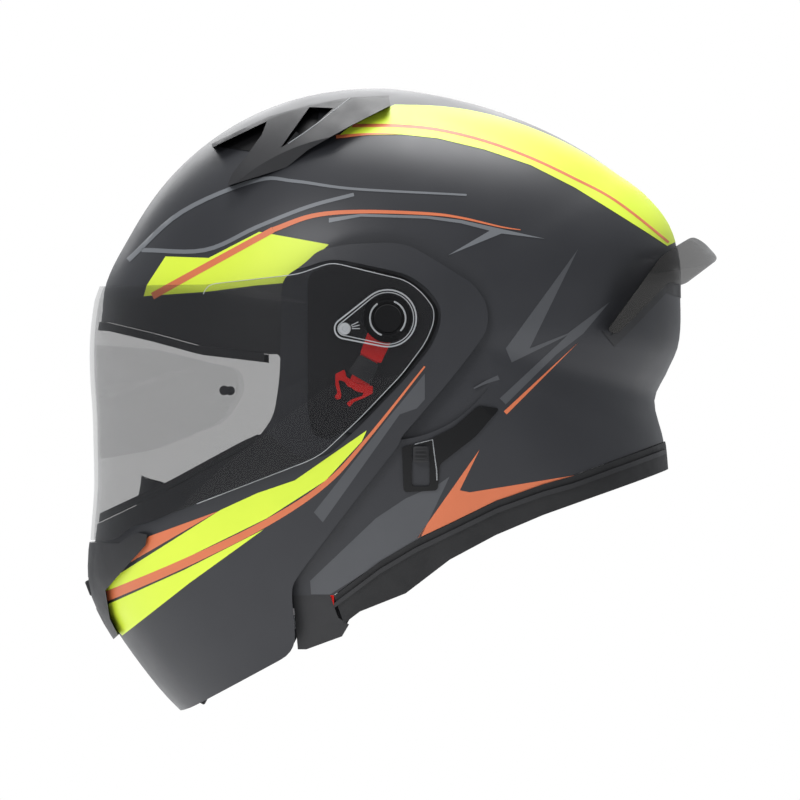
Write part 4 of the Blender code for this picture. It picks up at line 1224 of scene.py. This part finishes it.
def box_stitch(bm, line, across, half_thickness):
    """Sew a crossed box of thread stitches on both faces, near the strap's upper end."""
    first, last, half = 6, 14, 7.0
    span = (line[last] - line[first]).length

    def at(along, aside, face):
        """A point on one face of the strap: along from 0 to 1 over the box, aside in millimetres."""
        place = first + along * (last - first)
        index = min(int(place), last - 1)
        point = line[index].lerp(line[index + 1], place - index)
        out = (line[index + 1] - line[index]).cross(across).normalized()
        return point + across * aside + out * face * (half_thickness + 0.1)

    runs = (
        ((0, -half), (1, -half)), ((0, half), (1, half)), ((0, -half), (0, half)), ((1, -half), (1, half)),
        ((0, -half), (1, half)), ((0, half), (1, -half)),
    )
    for face in (1, -1):
        for (a0, b0), (a1, b1) in runs:
            count = max(3, round(math.hypot((a1 - a0) * span, b1 - b0) / 2.6))
            for index in range(count):
                start = (index + 0.15) / count
                end = (index + 0.85) / count
                low = at(a0 + (a1 - a0) * start, b0 + (b1 - b0) * start, face)
                high = at(a0 + (a1 - a0) * end, b0 + (b1 - b0) * end, face)
                way = (high - low).normalized()
                turn = way.to_track_quat("Z", "Y").to_matrix().to_4x4()
                place = Matrix.Translation((low + high) / 2 * MM) @ turn
                bmesh.ops.create_cone(bm, cap_ends=True, segments=6, radius1=0.28 * MM, radius2=0.28 * MM,
                                      depth=(high - low).length * MM, matrix=place)


def build_straps():
    """Twill strap halves with rounded edges and box stitching."""
    half_width, half_thickness = 10.0, 0.9
    section = [(-1, 0), (-0.94, 0.8), (-0.8, 1), (0.8, 1), (0.94, 0.8), (1, 0), (0.94, -0.8), (0.8, -1),
               (-0.8, -1), (-0.94, -0.8)]
    across = Vector(STRAP_ACROSS).normalized()
    for side in (1, -1):
        line = spline_points([Vector((x * side, back, up)) for x, back, up in STRAP_PATH], 10)
        bm = bmesh.new()
        rings = []
        for index, point in enumerate(line):
            run = line[min(index + 1, len(line) - 1)] - line[max(index - 1, 0)]
            out = run.cross(across).normalized()
            rings.append([bm.verts.new((point + across * a * half_width + out * b * half_thickness) * MM)
                          for a, b in section])
        count = len(section)
        for first, second in zip(rings, rings[1:]):
            for i in range(count):
                bm.faces.new((first[i], first[(i + 1) % count], second[(i + 1) % count], second[i]))
        bm.faces.new(rings[0])
        bm.faces.new(rings[-1][::-1])
        bmesh.ops.recalc_face_normals(bm, faces=bm.faces)
        name = side_name(side)
        box_stitch(bm, line, across, half_thickness)
        strap = smooth(add_object(f"strap_webbing_{name}", finish_bmesh(bm, "strap")))
        dress(strap, PAINT["webbing"], "helmet", replaces=(f"chin_strap_{name}",))


KEPT = {
    "steel": ("pivot_bolt_left", "pivot_bolt_right", "sun_visor_pin_left", "sun_visor_pin_right",
              "strap_anchor_left", "strap_anchor_right", "striker_pin_left", "striker_pin_right",
              "latch_hook_left", "latch_hook_right", "buckle_body", "ratchet_tongue"),
    "red": ("buckle_lever", "cheek_release_tab_left", "cheek_release_tab_right"),
    "matte": ("insert_pin_left", "insert_pin_right", "chin_vent_slider", "release_button"),
}


def paint_kept_nodes():
    """Better materials for the frame's own small parts."""
    for paint_name, nodes in KEPT.items():
        for node in nodes:
            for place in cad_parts[node].material_slots:
                place.material = PAINT[paint_name]


def area_light(name, place, size, power, target=(0, 0, -0.03)):
    """A soft light aimed at the helmet."""
    lamp = bpy.data.lights.new(name, "AREA")
    lamp.size = size
    lamp.energy = power
    holder = bpy.data.objects.new(name, lamp)
    bpy.context.scene.collection.objects.link(holder)
    holder.location = place
    holder.rotation_euler = (Vector(target) - Vector(place)).to_track_quat("-Z", "Y").to_euler()


def build_stage():
    """Pale floor, white surroundings and soft studio lights."""
    drop = 0.35
    bm = bmesh.new()
    bmesh.ops.create_grid(bm, x_segments=2, y_segments=2, size=8)
    floor = add_object("floor", finish_bmesh(bm, "floor"))
    floor.location.z = cad_box[0][2] - drop
    made = Nodes("pale_floor", (0.86, 0.86, 0.86), 0.8)
    made.mottle(6, 0.01)
    made.shader.inputs["Emission Color"].default_value = (1, 1, 1, 1)
    # The floor glows more for the camera, so that it meets the white surroundings without an edge.
    seen_by = made.tree.nodes.new("ShaderNodeLightPath")
    glow = made.tree.nodes.new("ShaderNodeMath")
    glow.operation = "MULTIPLY_ADD"
    glow.inputs[1].default_value = 0.5
    glow.inputs[2].default_value = 0.2
    made.link(seen_by.outputs["Is Camera Ray"], glow.inputs[0])
    made.link(glow.outputs[0], made.shader.inputs["Emission Strength"])
    floor.data.materials.append(made.material)
    world = bpy.data.worlds.new("studio")
    bpy.context.scene.world = world
    world.use_nodes = True
    tree = world.node_tree
    lit = tree.nodes["Background"]
    lit.inputs["Color"].default_value = (0.93, 0.96, 1, 1)
    lit.inputs["Strength"].default_value = 0.42
    seen = tree.nodes.new("ShaderNodeBackground")
    seen.inputs["Color"].default_value = (1, 1, 1, 1)
    path = tree.nodes.new("ShaderNodeLightPath")
    mix = tree.nodes.new("ShaderNodeMixShader")
    tree.links.new(path.outputs["Is Camera Ray"], mix.inputs[0])
    tree.links.new(lit.outputs[0], mix.inputs[1])
    tree.links.new(seen.outputs[0], mix.inputs[2])
    tree.links.new(mix.outputs[0], tree.nodes["World Output"].inputs["Surface"])
    area_light("top_light", (-0.35, 0.15, 1.5), 1.0, 26)
    area_light("side_light", (1.7, -0.9, 1.1), 0.9, 16)
    area_light("far_light", (-1.9, -0.2, 1.1), 1.6, 20)
    bpy.context.scene.view_settings.view_transform = "Standard"


def build_camera():
    """A long lens level with the helmet, square to its left side."""
    distance = 6.0
    picture = 0.408
    camera = bpy.data.cameras.new("camera")
    camera.sensor_width = 36
    camera.lens = camera.sensor_width * distance / picture
    holder = bpy.data.objects.new("camera", camera)
    bpy.context.scene.collection.objects.link(holder)
    holder.location = (distance, 0.0061, -0.0408)
    holder.rotation_euler = (math.radians(90), 0, math.radians(90))
    bpy.context.scene.camera = holder


build_camera()
build_stage()
build_shell()
build_shell_graphics()
build_chin_bar()
build_visor()
build_mechanism()
build_side_panels()
build_sun_visor()
build_top_vents()
build_spoiler()
build_liners()
build_straps()
paint_kept_nodes()
